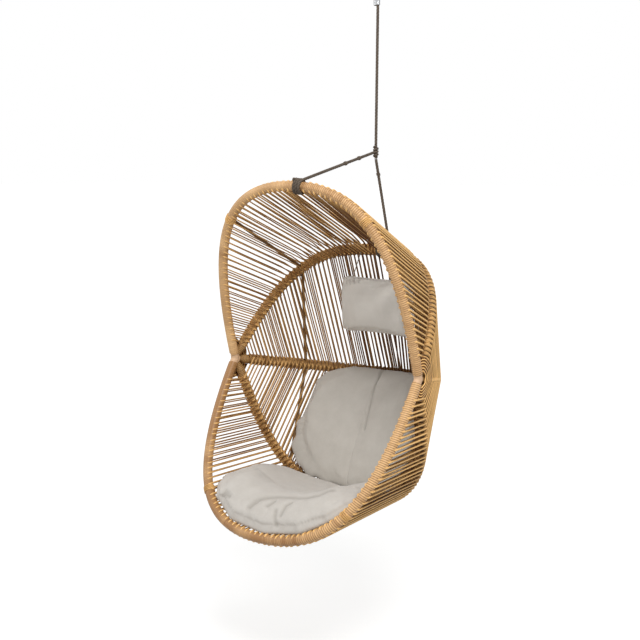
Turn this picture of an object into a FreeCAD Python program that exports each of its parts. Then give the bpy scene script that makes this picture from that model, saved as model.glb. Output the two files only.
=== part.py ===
"""Hanging egg chair: five bent rattan poles that meet at two side hubs, bound with peel,
woven with two layers of straight strands, with three cushions, hung from a rope bridle."""

import FreeCAD, Part
import math
import os

import Sketcher
from FreeCAD import Placement, Rotation, Vector

# The chair is drawn about the middle of the line between its two side hubs: X to the chair's
# left and right, -Y out of its open front, Z up. Every piece is then placed so that the origin
# lies on the ceiling, on the axis of the hook.

doc = FreeCAD.newDocument("hanging_egg_chair")
sheet = doc.addObject("Spreadsheet::Sheet", "sizes")

SIZES = {
    # half the distance between the hubs, where all five arches meet
    "hubHalfWidth": 416.0,
    # each arch is a smooth curve in one plane: its top in Y and Z, how far it leans out at the
    # hub in degrees, and how long it holds its course at the hub and at its top
    "upperRingBack": -181.7, "upperRingRise": 654.3, "upperRingLean": 0.88,
    "upperRingPull": 475.5, "upperRingCrown": 303.6,
    "lowerRingBack": -344.1, "lowerRingRise": -558.2, "lowerRingLean": 0.35,
    "lowerRingPull": 466.0, "lowerRingCrown": 295.1,
    "upperArchBack": 296.4, "upperArchRise": 414.6, "upperArchLean": -5.99,
    "upperArchPull": 422.2, "upperArchCrown": 232.3,
    "waistBack": 456.6, "waistRise": -76.7, "waistLean": -8.05,
    "waistPull": 97.0, "waistCrown": 297.7,
    "lowerArchBack": 193.8, "lowerArchRise": -520.1, "lowerArchLean": -14.97,
    "lowerArchPull": 170.3, "lowerArchCrown": 415.3,
    # poles, their binding and the hubs
    "poleDiameter": 28.0, "bindingThickness": 3.6, "bindingGap": 0.1,
    "hubDiameter": 44.0, "hubThickness": 31.0, "hubArmDiameter": 17.0,
    "ringStart": 23.0, "archStart": 47.0, "bareEnd": 3.0,
    # woven strands
    "strandWidth": 4.4, "strandsPerLayer": 72.0, "weaveStart": 64.0, "seatGap": 0.05,
    "strandOverrun": 5.0, "shortestStrand": 62.0,
    # ribs and the bent bar behind the back cushion
    "ribDiameter": 13.0, "ribAside": 295.0, "lumbarDiameter": 15.0, "lumbarShare": 0.56,
    # rope, knot and lashings
    "ropeDiameter": 10.0, "knotAside": 57.0, "knotBack": 250.0, "knotRise": 774.0,
    "knotDiameter": 21.0, "knotLength": 50.0,
    "frontLashingAside": 41.0, "rearLashingAside": 60.0, "lashingTurns": 3.0,
    "lashingGap": 0.6, "ropeClearance": 0.35, "ropeEndGap": 1.6,
    # the rope's eye, the ring and the hook in the ceiling
    "ceilingRise": 1500.0, "eyeNeckRise": 1326.0, "eyeRadius": 20.0, "eyeHeight": 52.0,
    "eyeSleeveLength": 34.0, "eyeSleeveWall": 2.5, "eyeBend": 16.0, "eyePairGap": 0.4,
    "sleeveGap": 0.5, "sleeveEndReach": 2.0,
    "ringInner": 42.0, "ringWire": 8.0, "hookWire": 9.0, "hookInner": 34.0,
    "hookTopBend": 8.0, "hookShoulderBend": 12.0, "shankLength": 45.0, "collarDiameter": 22.0, "collarThickness": 3.0,
    # cushions
    "seatHalfWidth": 306.0, "seatRoll": 94.0, "seatDish": 50.0, "seatFrontRim": 50.0, "seatBackRim": 24.0,
    "backThickness": 76.0, "backRim": 42.0, "backHalfWidth": 276.0, "backSeamDepth": 18.0,
    "headWidth": 350.0, "headHeight": 218.0, "headThickness": 88.0, "headRim": 30.0,
    "headAside": 58.0, "headDrop": 84.0, "headTurn": 8.0, "headForward": 9.0,
    "tieDiameter": 3.0, "tieSpacing": 210.0, "tieTopSpacing": 146.0, "tieSink": 1.2,
    "cushionGap": 1.0,
}

for row, (name, value) in enumerate(SIZES.items(), start=1):
    sheet.set("A%d" % row, name)
    sheet.set("B%d" % row, str(value))
    sheet.setAlias("B%d" % row, name)
doc.recompute()


def size(name):
    """A driving dimension, read from the sheet."""
    return float(getattr(sheet, name))


CHAIR_PLACE = Placement(Vector(-size("knotAside"), -size("knotBack"), -size("ceilingRise")), Rotation())
POLE_RADIUS = size("poleDiameter") / 2
BOUND_RADIUS = POLE_RADIUS + size("bindingThickness")
ROPE_RADIUS = size("ropeDiameter") / 2
ROPE_ROOM = 1.5
CUT_REACH = 60.0
CUT_STEP = 0.5
SAME_AXIS = 0.001
RIM_STEPS = 4
RIM_BULGE = 0.4
CROWN_STEPS = 7
nodes = {}

# How finely round things are faceted
POLE_SIDES = 8
BINDING_SIDES = 12
ROUND_SIDES = 8
LASHING_SIDES = 6
ARCH_STEPS = 22
FINE_STEPS = 400
LUMBAR_STEPS = 12
TURN_STEPS = 12
RING_STEPS = 20
KNOT_BULGES = 3
BEND_STEP = math.radians(24)
SAME_POINT = 0.5


def add_feature(name, shape):
    """A sub-part whose shape is worked out here, placed with the chair."""
    feature = doc.addObject("Part::Feature", name)
    feature.Label = name
    feature.Shape = shape
    feature.Placement = CHAIR_PLACE
    nodes[name] = feature
    return feature


# Faceted tubes along a line of points


def directions(points):
    return [(b - a).normalize() for a, b in zip(points, points[1:])]


def section_points(centre, along, side, radius, sides):
    """The corners of a regular polygon square to a direction."""
    across = side - along * along.dot(side)
    across.normalize()
    other = along.cross(across)
    corners = []
    for index in range(sides):
        angle = 2 * math.pi * (index + 0.5) / sides
        corners.append(centre + across * (radius * math.cos(angle)) + other * (radius * math.sin(angle)))
    return corners


def tube_rings(points, side, radius, sides):
    """The polygon at each point of the line, mitred where the line turns."""
    ways = directions(points)
    rings = [section_points(points[0], ways[0], side, radius, sides)]
    for index in range(1, len(points)):
        way = ways[index - 1]
        mitre = way if index == len(ways) else (way + ways[index]).normalize()
        ring = []
        for corner in rings[-1]:
            reach = (points[index] - corner).dot(mitre) / way.dot(mitre)
            ring.append(corner + way * reach)
        rings.append(ring)
    return rings


def polygon_face(corners):
    return Part.Face(Part.makePolygon(corners + corners[:1]))


def closed_solid(faces):
    shell = Part.makeShell(faces)
    shell.sewShape()
    solid = Part.makeSolid(shell)
    if solid.Volume < 0:
        solid.reverse()
    return solid


def side_faces(rings):
    faces = []
    for low, high in zip(rings, rings[1:]):
        count = len(low)
        for index in range(count):
            after = (index + 1) % count
            faces.append(polygon_face([low[index], low[after], high[after], high[index]]))
    return faces


def solid_tube(points, side, radius, sides):
    rings = tube_rings(points, side, radius, sides)
    faces = side_faces(rings)
    faces.append(polygon_face(rings[0]))
    faces.append(polygon_face(rings[-1]))
    return closed_solid(faces)


def hollow_tube(points, side, outer_radius, outer_sides, inner_radius, inner_sides):
    outer = tube_rings(points, side, outer_radius, outer_sides)
    inner = tube_rings(points, side, inner_radius, inner_sides)
    faces = side_faces(outer) + side_faces(inner)
    for end in (0, -1):
        faces.append(polygon_face(outer[end]).cut(polygon_face(inner[end])).Faces[0])
    return closed_solid(faces)


# The five arches

ARCHES = {
    "upper_ring": ("upperRing", "ringStart"),
    "upper_arch": ("upperArch", "archStart"),
    "waist": ("waist", "archStart"),
    "lower_arch": ("lowerArch", "archStart"),
    "lower_ring": ("lowerRing", "ringStart"),
}
TURN_WEIGHT = 260.0


class Arch:
    """A bent pole: a smooth curve from hub to hub, cut into short straight stretches."""

    def __init__(self, prefix, start_name):
        top = Vector(0, size(prefix + "Back"), size(prefix + "Rise"))
        self.height = top.Length
        self.up = top.normalize()
        self.normal = Vector(1, 0, 0).cross(self.up)
        lean = math.radians(size(prefix + "Lean"))
        pull = size(prefix + "Pull")
        half = size("hubHalfWidth")
        self.controls = [
            (half, 0.0),
            (half + pull * math.sin(lean), pull * math.cos(lean)),
            (size(prefix + "Crown"), self.height),
            (0.0, self.height),
        ]
        fine = [self.curve_point(step / FINE_STEPS) for step in range(FINE_STEPS + 1)]
        fine = [Vector(-p.x, p.y, p.z) for p in fine] + fine[-2::-1]
        self.points = self.thin_out(self.cut_ends(fine, size(start_name)))
        self.marks = [0.0]
        for a, b in zip(self.points, self.points[1:]):
            self.marks.append(self.marks[-1] + (b - a).Length)
        self.length = self.marks[-1]

    def curve_point(self, share):
        rest = 1 - share
        weights = (rest ** 3, 3 * rest * rest * share, 3 * rest * share * share, share ** 3)
        x = sum(w * c[0] for w, c in zip(weights, self.controls))
        v = sum(w * c[1] for w, c in zip(weights, self.controls))
        return Vector(x, 0, 0) + self.up * v

    @staticmethod
    def cut_ends(points, start):
        """Drop what lies nearer to the hubs than the pole's end."""
        return [p for p in points if (p - points[0]).Length >= start and (p - points[-1]).Length >= start]

    @staticmethod
    def thin_out(points):
        """Keep points so that each stretch turns about as much as the next."""
        ways = directions(points)
        work = [0.0]
        for index in range(1, len(points)):
            turn = 0.0
            if index < len(ways):
                turn = ways[index - 1].getAngle(ways[index])
            work.append(work[-1] + TURN_WEIGHT * turn + (points[index] - points[index - 1]).Length)
        kept = [points[0]]
        for step in range(1, ARCH_STEPS):
            goal = work[-1] * step / ARCH_STEPS
            nearest = min(range(len(points)), key=lambda i: abs(work[i] - goal))
            kept.append(points[nearest])
        kept.append(points[-1])
        return kept

    def at(self, distance):
        """The point, direction and stretch at a distance along the pole from its -X end."""
        distance = max(0.0, min(self.length, distance))
        index = 0
        while index < len(self.marks) - 2 and self.marks[index + 1] < distance:
            index += 1
        way = (self.points[index + 1] - self.points[index]).normalize()
        return self.points[index] + way * (distance - self.marks[index]), way, index

    def distance_at_x(self, x):
        """The distance along the pole at which it crosses a plane of constant X."""
        for index, (a, b) in enumerate(zip(self.points, self.points[1:])):
            if (a.x - x) * (b.x - x) <= 0 and a.x != b.x:
                return self.marks[index] + (b - a).Length * (x - a.x) / (b.x - a.x)
        return self.length / 2

    def height_over(self, distance, normal):
        """How far the bound pole stands out along a normal, measured from the origin."""
        centre, way, index = self.at(distance)
        corners = section_points(centre, way, self.normal, BOUND_RADIUS, BINDING_SIDES)
        return max(corner.dot(normal) for corner in corners)


arches = {name: Arch(prefix, start) for name, (prefix, start) in ARCHES.items()}


def make_poles():
    inner = POLE_RADIUS + size("bindingGap")
    for name, arch in arches.items():
        add_feature(name + "_pole", solid_tube(arch.points, arch.normal, POLE_RADIUS, POLE_SIDES))
        bound = list(arch.points)
        ways = directions(bound)
        bound[0] = bound[0] + ways[0] * size("bareEnd")
        bound[-1] = bound[-1] - ways[-1] * size("bareEnd")
        sleeve = hollow_tube(bound, arch.normal, BOUND_RADIUS, BINDING_SIDES, inner, POLE_SIDES)
        add_feature(name + "_binding", sleeve)


# Hubs, where the poles meet


def make_hub(name, side):
    """A flat round knuckle with three stub arms that reach the poles behind the front ring."""
    centre = Vector(side * size("hubHalfWidth"), 0, 0)
    knuckle = doc.addObject("Part::Prism", name + "_knuckle")
    knuckle.Polygon = 12
    knuckle.setExpression("Circumradius", "sizes.hubDiameter / 2")
    knuckle.setExpression("Height", "sizes.hubThickness")
    start = centre - Vector(size("hubThickness") / 2, 0, 0)
    knuckle.Placement = Placement(start, Rotation(Vector(0, 0, 1), Vector(1, 0, 0)))
    parts = [knuckle]
    for arch_name in ("upper_arch", "waist", "lower_arch"):
        points = arches[arch_name].points
        end, beyond = (points[0], points[1]) if side < 0 else (points[-1], points[-2])
        way = (end - beyond).normalize()
        arm = doc.addObject("Part::Prism", name + "_arm_" + arch_name)
        arm.Polygon = ROUND_SIDES
        arm.setExpression("Circumradius", "sizes.hubArmDiameter / 2")
        arm.Height = (centre - end).dot(way)
        arm.Placement = Placement(end + way * size("bindingGap"), Rotation(Vector(0, 0, 1), way))
        parts.append(arm)
    hub = doc.addObject("Part::MultiFuse", name)
    hub.Shapes = parts
    hub.Label = name
    hub.Placement = CHAIR_PLACE
    nodes[name] = hub


# The weave: straight strands between two bound poles, over their outer and inner sides

LASHED = {"upper_ring": "frontLashingAside", "upper_arch": "rearLashingAside"}
PANELS = {
    "hood": ("upper_ring", "upper_arch", 0.0),
    "upper_back": ("upper_arch", "waist", 0.5),
    "lower_back": ("waist", "lower_arch", 0.0),
    "seat": ("lower_arch", "lower_ring", 0.5),
}
FIRST_LAID = ("hood", "lower_back")
SPLIT_SHARE = 0.53


def split_fraction():
    """Where the weave parts for the rope's lashings, between two strands of either layer."""
    count = size("strandsPerLayer")
    return (round(SPLIT_SHARE * count) + 0.25) / count


def lashing_half_width():
    turn = size("ropeDiameter") + size("lashingGap")
    return turn * size("lashingTurns") / 2 + ROPE_RADIUS


def strand_distance(arch_name, share):
    """The distance along a pole for a share of its strands, with room left for a lashing."""
    arch = arches[arch_name]
    start = size("weaveStart") - size(ARCHES[arch_name][1])
    end = arch.length - start
    split = split_fraction()
    room = 0.0
    middle = start + split * (end - start)
    if arch_name in LASHED:
        room = lashing_half_width() + size("strandWidth") / 2 + ROPE_ROOM
        middle = arch.distance_at_x(size(LASHED[arch_name]))
    if share < split:
        return start + (middle - room - start) * share / split
    return middle + room + (end - middle - room) * (share - split) / (1 - split)


def strand_frame(first, second, share, outside):
    """The two ends of a strand and the direction that points away from the poles' centres."""
    s1 = strand_distance(first, share)
    s2 = strand_distance(second, share)
    c1, way1, index1 = arches[first].at(s1)
    c2, way2, index2 = arches[second].at(s2)
    along = (c2 - c1).normalize()
    normal = along.cross((way1 + way2).normalize()).normalize()
    outward = (c1 + c2) * 0.5 - Vector(0, size("waistBack") * 0.1, 0)
    if normal.dot(outward) < 0:
        normal = normal * -1
    if not outside:
        normal = normal * -1
    return s1, s2, c1, c2, along, normal, way1, way2


def seat_height(arch_name, distance, centre, along, way, normal):
    """The height over the pole's centre at which a strand clears the binding under it."""
    slant = max(0.3, math.sqrt(max(0.0, 1 - along.dot(way) ** 2)))
    spread = size("strandWidth") / 2 / slant
    arch = arches[arch_name]
    heights = [arch.height_over(distance + step * spread, normal) for step in (-1, 0, 1)]
    return max(heights) - centre.dot(normal) + size("seatGap")


class Strand:
    """One straight square strand: its two ends and the directions of its sides."""

    def __init__(self, start, end, side, normal):
        self.start = start
        self.end = end
        self.side = side
        self.normal = normal

    def corners(self, spot):
        half = size("strandWidth") / 2
        signs = ((1, 1), (-1, 1), (-1, -1), (1, -1))
        return [spot + self.side * (half * a) + self.normal * (half * b) for a, b in signs]

    def solid(self):
        return polygon_face(self.corners(self.start)).extrude(self.end - self.start)

    def meets(self, other):
        """Whether two strands come nearer than the seat gap, tried along every axis."""
        mine = self.corners(self.start) + self.corners(self.end)
        theirs = other.corners(other.start) + other.corners(other.end)
        my_axes = [self.side, self.normal, self.side.cross(self.normal)]
        their_axes = [other.side, other.normal, other.side.cross(other.normal)]
        axes = my_axes + their_axes + [a.cross(b) for a in my_axes for b in their_axes]
        for axis in axes:
            if axis.Length < SAME_AXIS:
                continue
            gap = size("seatGap") * axis.Length
            low = [corner.dot(axis) for corner in mine]
            high = [corner.dot(axis) for corner in theirs]
            if max(low) + gap < min(high) or max(high) + gap < min(low):
                return False
        return True

    def cut_back(self, laid):
        """Shorten either end by small steps until it stops beside the strands laid before."""
        way = (self.end - self.start).normalize()
        for at_start in (True, False):
            spot = self.start if at_start else self.end
            near = []
            for other in laid:
                if min((other.start - spot).Length, (other.end - spot).Length) < CUT_REACH:
                    near.append(other)
            while any(self.meets(other) for other in near):
                if at_start:
                    self.start = self.start + way * CUT_STEP
                else:
                    self.end = self.end - way * CUT_STEP


def lay_strand(first, second, share, outside):
    """A straight strand that lies on both bindings, or nothing where the poles are close."""
    s1, s2, c1, c2, along, normal, way1, way2 = strand_frame(first, second, share, outside)
    if (c2 - c1).Length < size("shortestStrand"):
        return None
    half = size("strandWidth") / 2
    for attempt in range(2):
        h1 = seat_height(first, s1, c1, along, way1, normal) + half
        h2 = seat_height(second, s2, c2, along, way2, normal) + half
        p1 = c1 + normal * h1
        p2 = c2 + normal * h2
        along = (p2 - p1).normalize()
        normal = (normal - along * normal.dot(along)).normalize()
    over = size("strandOverrun") if outside else size("strandOverrun") / 2
    return Strand(p1 - along * over, p2 + along * over, normal.cross(along), normal)


def lay_panel(name, outside):
    """One layer of a panel: the outer layer starts half a pitch away from the inner one."""
    first, second, shift = PANELS[name]
    phase = shift if outside else (shift + 0.5) % 1
    count = int(size("strandsPerLayer"))
    strands = [lay_strand(first, second, (index + phase) / count, outside) for index in range(count)]
    return [strand for strand in strands if strand is not None]


def make_weave():
    """Both layers of every panel. Inside, two panels meet in a hollow corner at each pole, so
    the strands that are laid second stop beside those laid first."""
    laid = []
    for name in sorted(PANELS, key=lambda panel: panel not in FIRST_LAID):
        for layer, outside in (("outer", True), ("inner", False)):
            strands = lay_panel(name, outside)
            if not outside and name in FIRST_LAID:
                laid += strands
            elif not outside:
                for strand in strands:
                    strand.cut_back(laid)
            solids = [strand.solid() for strand in strands]
            add_feature("%s_%s_strands" % (name, layer), Part.makeCompound(solids))


# Ribs, between the two layers of strands


def rib_end(arch, point, toward):
    """Where a rib stops short of a bound pole."""
    way = (toward - point).normalize()
    distance = arch.distance_at_x(point.x)
    centre, along, index = arch.at(distance)
    slant = math.sqrt(max(0.1, 1 - way.dot(along) ** 2))
    reach = BOUND_RADIUS / slant + size("ribDiameter") / 2 * abs(way.dot(along)) / slant
    return point + way * (reach + size("bindingGap"))


def rib_point(arch_name, side):
    arch = arches[arch_name]
    return arch.at(arch.distance_at_x(side * size("ribAside")))[0]


def make_rib(name, side):
    stretches = []
    for first, second, shift in PANELS.values():
        a = rib_point(first, side)
        b = rib_point(second, side)
        ends = [rib_end(arches[first], a, b), rib_end(arches[second], b, a)]
        stretches.append(solid_tube(ends, Vector(1, 0, 0), size("ribDiameter") / 2, ROUND_SIDES))
    add_feature(name, Part.makeCompound(stretches))


def panel_point(first, second, share_along, x):
    """A point of the sheet between two poles' centre lines, at a given X."""
    a = arches[first].at(arches[first].distance_at_x(x))[0]
    b = arches[second].at(arches[second].distance_at_x(x))[0]
    return a + (b - a) * share_along


def make_lumbar_bar():
    """A bent cane from rib to rib, between the layers of the lower back."""
    points = []
    for step in range(LUMBAR_STEPS + 1):
        x = size("ribAside") * (2 * step / LUMBAR_STEPS - 1)
        points.append(panel_point("waist", "lower_arch", size("lumbarShare"), x))
    bar = solid_tube(points, Vector(0, 0, 1), size("lumbarDiameter") / 2, ROUND_SIDES)
    for side in (-1, 1):
        ends = [rib_point("waist", side), rib_point("lower_arch", side)]
        room = size("ribDiameter") / 2 + size("bindingGap")
        bar = bar.cut(solid_tube(ends, Vector(1, 0, 0), room, ROUND_SIDES))
    add_feature("lumbar_bar", bar)


# Ropes: straight runs joined by arcs


def rounded_points(points, radii):
    """Points along straight runs and the arcs that join them."""
    route = [points[0]]
    for index in range(1, len(points) - 1):
        before = (points[index] - points[index - 1]).normalize()
        after = (points[index + 1] - points[index]).normalize()
        turn = before.getAngle(after)
        radius = radii[index - 1]
        tangent = radius * math.tan(turn / 2)
        first = points[index] - before * tangent
        last = points[index] + after * tangent
        inward = (after - before).normalize()
        middle = points[index] + inward * (radius / math.cos(turn / 2) - radius)
        steps = max(1, int(round(turn / BEND_STEP)))
        route += Part.Arc(first, middle, last).toShape().discretize(steps + 1)
    route.append(points[-1])
    kept = [route[0]]
    for spot in route[1:]:
        if (spot - kept[-1]).Length > SAME_POINT:
            kept.append(spot)
    return kept


def check_volume(name, solid, radius, sides, points):
    """Compare a tube's volume with its section times its length."""
    section = sides / 2 * radius * radius * math.sin(2 * math.pi / sides)
    length = sum((b - a).Length for a, b in zip(points, points[1:]))
    print(name, "volume over section times length:", round(solid.Volume / (section * length), 4))
    return length


def lashing_centre(arch_name):
    arch = arches[arch_name]
    centre, way, index = arch.at(arch.distance_at_x(size(LASHED[arch_name])))
    return centre, way


def lashing_radius():
    """The winding's radius: its short straight steps still clear the binding inside them."""
    clear = BOUND_RADIUS + size("ropeClearance") + ROPE_RADIUS
    return clear / math.cos(math.pi / TURN_STEPS)


def make_lashing(name, arch_name, top_way, side):
    """A rope wound round a bound pole: one unbroken tube that climbs along the pole."""
    centre, axis = lashing_centre(arch_name)
    radius = lashing_radius()
    turns = size("lashingTurns")
    pitch = size("ropeDiameter") + size("lashingGap")
    rope_way = (top_way - axis * top_way.dot(axis)).normalize()
    across = axis.cross(rope_way).normalize() * side
    start = centre - axis * (pitch * turns / 2)
    points = []
    for step in range(int(round(turns * TURN_STEPS)) + 1):
        angle = 2 * math.pi * step / TURN_STEPS
        spot = start + axis * (pitch * step / TURN_STEPS)
        spot = spot + across * (radius * math.cos(angle)) + rope_way * (radius * math.sin(angle))
        points.append(spot)
    solid = solid_tube(points, axis, ROPE_RADIUS, LASHING_SIDES)
    length = check_volume(name, solid, ROPE_RADIUS, LASHING_SIDES, points)
    gaps = [(a - b).Length for i, a in enumerate(points) for b in points[i + TURN_STEPS // 2:]]
    print(name, "length", round(length, 1), "mm, least gap to itself",
          round(min(gaps) - size("ropeDiameter"), 2), "mm")
    add_feature(name, solid)
    return points[-1]


def rope_tangent(arch_name, knot_point, side):
    """The direction from a lashing to the knot, where the rope leaves the winding.

    side is 1 for a leg that leaves over the top of its pole, and -1 for one behind it."""
    centre, axis = lashing_centre(arch_name)
    away = knot_point - centre
    away = away - axis * away.dot(axis)
    angle = math.asin(min(0.9, lashing_radius() / away.Length))
    return Rotation(axis, -math.degrees(angle) * side).multVec(away.normalize())


def straight_rope(name, start, end):
    """A taut stretch of rope."""
    solid = solid_tube([start, end], Vector(1, 0, 0), ROPE_RADIUS, ROUND_SIDES)
    print(name, "length", round((end - start).Length, 1), "mm")
    add_feature(name, solid)


def make_bridle():
    knot = Vector(size("knotAside"), size("knotBack"), size("knotRise"))
    low = knot - Vector(0, 0, size("knotLength") / 2)
    ends = {}
    for name, arch_name, spot, side in (
        ("front", "upper_ring", knot, 1),
        ("rear", "upper_arch", low, -1),
    ):
        way = rope_tangent(arch_name, spot, side)
        ends[name] = make_lashing(name + "_lashing", arch_name, way, side)
    gap = size("ropeEndGap")
    end = ends["front"]
    toward = (knot - end).normalize()
    stop = knot - toward * (size("knotDiameter") / 2 + size("ropeClearance"))
    straight_rope("front_rope", end + toward * gap, stop)
    end = ends["rear"]
    toward = (low - end).normalize()
    straight_rope("rear_rope", end + toward * gap, low - toward * gap)


def make_knot():
    """Where the main rope and the bridle meet: a barrel of three bulges."""
    centre = Vector(size("knotAside"), size("knotBack"), size("knotRise"))
    length = size("knotLength")
    wide = size("knotDiameter") / 2
    narrow = wide * 0.8
    profile = [(-length / 2, narrow * 0.75)]
    for bulge in range(KNOT_BULGES):
        base = length * (bulge / KNOT_BULGES - 0.5)
        profile.append((base + length * 0.3 / KNOT_BULGES, wide))
        profile.append((base + length * 0.7 / KNOT_BULGES, wide))
        if bulge < KNOT_BULGES - 1:
            profile.append((base + length / KNOT_BULGES, narrow))
    profile.append((length / 2, narrow * 0.75))
    up = Vector(0, 0, 1)
    rings = []
    for height, radius in profile:
        rings.append(section_points(centre + up * height, up, Vector(1, 0, 0), radius, BINDING_SIDES))
    faces = side_faces(rings) + [polygon_face(rings[0]), polygon_face(rings[-1])]
    add_feature("bridle_knot", closed_solid(faces))


# The eye at the top of the main rope, its sleeve, the ring and the hook


def eye_top():
    return size("eyeNeckRise") + size("eyeHeight")


def ring_low():
    """The centre of the ring's wire where the rope's eye hangs on it."""
    return eye_top() - ROPE_RADIUS - size("ropeClearance") - size("ringWire") / 2


def ring_radius():
    return (size("ringInner") + size("ringWire")) / 2


def hook_low():
    """The centre of the hook's wire where the ring hangs on it."""
    return ring_low() + 2 * ring_radius() - (size("ringWire") + size("hookWire")) / 2 - size("ropeClearance")


def make_main_rope():
    """From the knot up to the sleeve, round the eye and back down into the sleeve."""
    aside, back = size("knotAside"), size("knotBack")
    pair = ROPE_RADIUS + size("eyePairGap") / 2
    bend = size("eyeBend")
    wide = size("eyeRadius")
    neck = size("eyeNeckRise")
    top = eye_top()
    low = size("knotRise") + size("knotLength") / 2 + size("bindingGap")
    swell = neck + size("eyeHeight") * 0.35
    spots = [
        (0, low), (pair, neck), (wide, swell), (wide, top), (-wide, top),
        (-wide, swell), (-pair, neck), (-pair, neck - size("eyeSleeveLength")),
    ]
    points = [Vector(aside + x, back, z) for x, z in spots]
    radii = [bend, bend, wide, wide, bend, bend]
    route = rounded_points(points, radii)
    solid = solid_tube(route, Vector(0, 1, 0), ROPE_RADIUS, ROUND_SIDES)
    length = check_volume("main_rope", solid, ROPE_RADIUS, ROUND_SIDES, route)
    print("main_rope length", round(length, 1), "mm, radii", radii)
    add_feature("main_rope", solid)


def make_eye_sleeve():
    """A pressed sleeve that holds the eye closed: a slot-shaped block with one slot through it."""
    body = doc.addObject("PartDesign::Body", "eye_sleeve")
    plane = [f for f in body.Origin.OriginFeatures if f.Role == "XY_Plane"][0]
    sketch = body.newObject("Sketcher::SketchObject", "sleeve_outline")
    sketch.AttachmentSupport = [(plane, "")]
    sketch.MapMode = "FlatFace"
    inner = ROPE_RADIUS + size("sleeveGap")
    outer = inner + size("eyeSleeveWall")
    spread = ROPE_RADIUS
    for radius in (outer, inner):
        sketch.addGeometry(Part.LineSegment(Vector(-spread, radius, 0), Vector(spread, radius, 0)))
        sketch.addGeometry(Part.LineSegment(Vector(-spread, -radius, 0), Vector(spread, -radius, 0)))
        for side in (-1, 1):
            arc = Part.Arc(
                Vector(side * spread, radius, 0),
                Vector(side * (spread + radius), 0, 0),
                Vector(side * spread, -radius, 0),
            )
            sketch.addGeometry(arc)
    pad = body.newObject("PartDesign::Pad", "sleeve_pad")
    pad.Profile = sketch
    pad.setExpression("Length", "sizes.eyeSleeveLength - 3 * sizes.sleeveEndReach")
    body.Label = "eye_sleeve"
    low = size("eyeNeckRise") - size("eyeSleeveLength") + size("sleeveEndReach")
    spot = Vector(size("knotAside"), size("knotBack"), low)
    body.Placement = Placement(CHAIR_PLACE.Base + spot, Rotation())
    nodes["eye_sleeve"] = body


def make_ring():
    """A closed steel ring that links the rope's eye to the hook."""
    centre = Vector(size("knotAside"), size("knotBack"), ring_low() + ring_radius())
    radius = ring_radius()
    wire = size("ringWire") / 2
    rings = []
    for step in range(RING_STEPS):
        angle = 2 * math.pi * step / RING_STEPS
        out = Vector(0, math.sin(angle), -math.cos(angle))
        spot = centre + out * radius
        ring = []
        for corner in range(ROUND_SIDES):
            turn = 2 * math.pi * (corner + 0.5) / ROUND_SIDES
            ring.append(spot + out * (wire * math.cos(turn)) + Vector(wire * math.sin(turn), 0, 0))
        rings.append(ring)
    add_feature("hanging_ring", closed_solid(side_faces(rings + rings[:1])))


def make_hook():
    """A screw hook: a shank for the ceiling, a collar and a bent wire."""
    centre_radius = (size("hookInner") + size("hookWire")) / 2
    low = hook_low() - size("ceilingRise")
    top = low + 2 * centre_radius
    spots = [
        (0, 0), (0, top), (centre_radius, top), (centre_radius, low),
        (-centre_radius, low), (-centre_radius, top - size("hookInner") / 2),
    ]
    points = [Vector(x, 0, z) for x, z in spots]
    bends = [size("hookTopBend"), size("hookShoulderBend"), centre_radius, centre_radius]
    route = rounded_points(points, bends)
    wire = doc.addObject("Part::Feature", "hook_wire")
    wire.Shape = solid_tube(route, Vector(0, 1, 0), size("hookWire") / 2, ROUND_SIDES)
    shank = doc.addObject("Part::Cylinder", "hook_shank")
    shank.setExpression("Radius", "sizes.hookWire / 2")
    shank.setExpression("Height", "sizes.shankLength")
    collar = doc.addObject("Part::Cylinder", "hook_collar")
    collar.setExpression("Radius", "sizes.collarDiameter / 2")
    collar.setExpression("Height", "sizes.collarThickness")
    collar.setExpression("Placement.Base.z", "-sizes.collarThickness")
    hook = doc.addObject("Part::MultiFuse", "ceiling_hook")
    hook.Shapes = [wire, shank, collar]
    hook.Label = "ceiling_hook"
    nodes["ceiling_hook"] = hook


# Cushions: padded sections side by side, each square to the strands that it lies on


def share_at_x(panel, x):
    """The share of the weave whose strand crosses a plane of constant X half way along."""
    low, high = 0.0, 1.0
    for step in range(40):
        share = (low + high) / 2
        s1, s2, c1, c2, along, normal, way1, way2 = strand_frame(PANELS[panel][0], PANELS[panel][1], share, False)
        if (c1.x + c2.x) / 2 < x:
            low = share
        else:
            high = share
    return (low + high) / 2


def pad_base(panel, x):
    """The strand under a pad at X: where it starts, its direction, the way up and its length."""
    first, second, shift = PANELS[panel]
    share = share_at_x(panel, x)
    s1, s2, c1, c2, along, normal, way1, way2 = strand_frame(first, second, share, False)
    lift = BOUND_RADIUS + size("strandWidth") + size("cushionGap")
    return c1 + normal * lift, along, normal, (c2 - c1).Length


def pad_section(panel, x, start, end, rims, tops):
    """The corners of one section of a pad: a flat base, two rounded rims and a shaped face.

    rims holds the height of the rim at the end and at the start. tops holds points of the
    face as the share of the way from start to end and the height: every other one is passed
    in the middle of an arc."""
    origin, along, normal, length = pad_base(panel, x)
    low = origin + along * (start * length)
    high = origin + along * (end * length)
    end_rim, start_rim = rims
    b = high - along * (end_rim * RIM_BULGE)
    a = low + along * (start_rim * RIM_BULGE)
    b_top = b + normal * end_rim
    a_top = a + normal * start_rim
    line = [b_top] + [a + (b - a) * share + normal * height for share, height in tops] + [a_top]
    corners = Part.Arc(b, high + normal * (end_rim / 2), b_top).toShape().discretize(RIM_STEPS + 1)
    for index in range(0, len(line) - 2, 2):
        arc = Part.Arc(line[index], line[index + 1], line[index + 2]).toShape()
        corners += arc.discretize(CROWN_STEPS + 1)[1:]
    corners += Part.Arc(a_top, low + normal * (start_rim / 2), a).toShape().discretize(RIM_STEPS + 1)[1:]
    return corners


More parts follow.
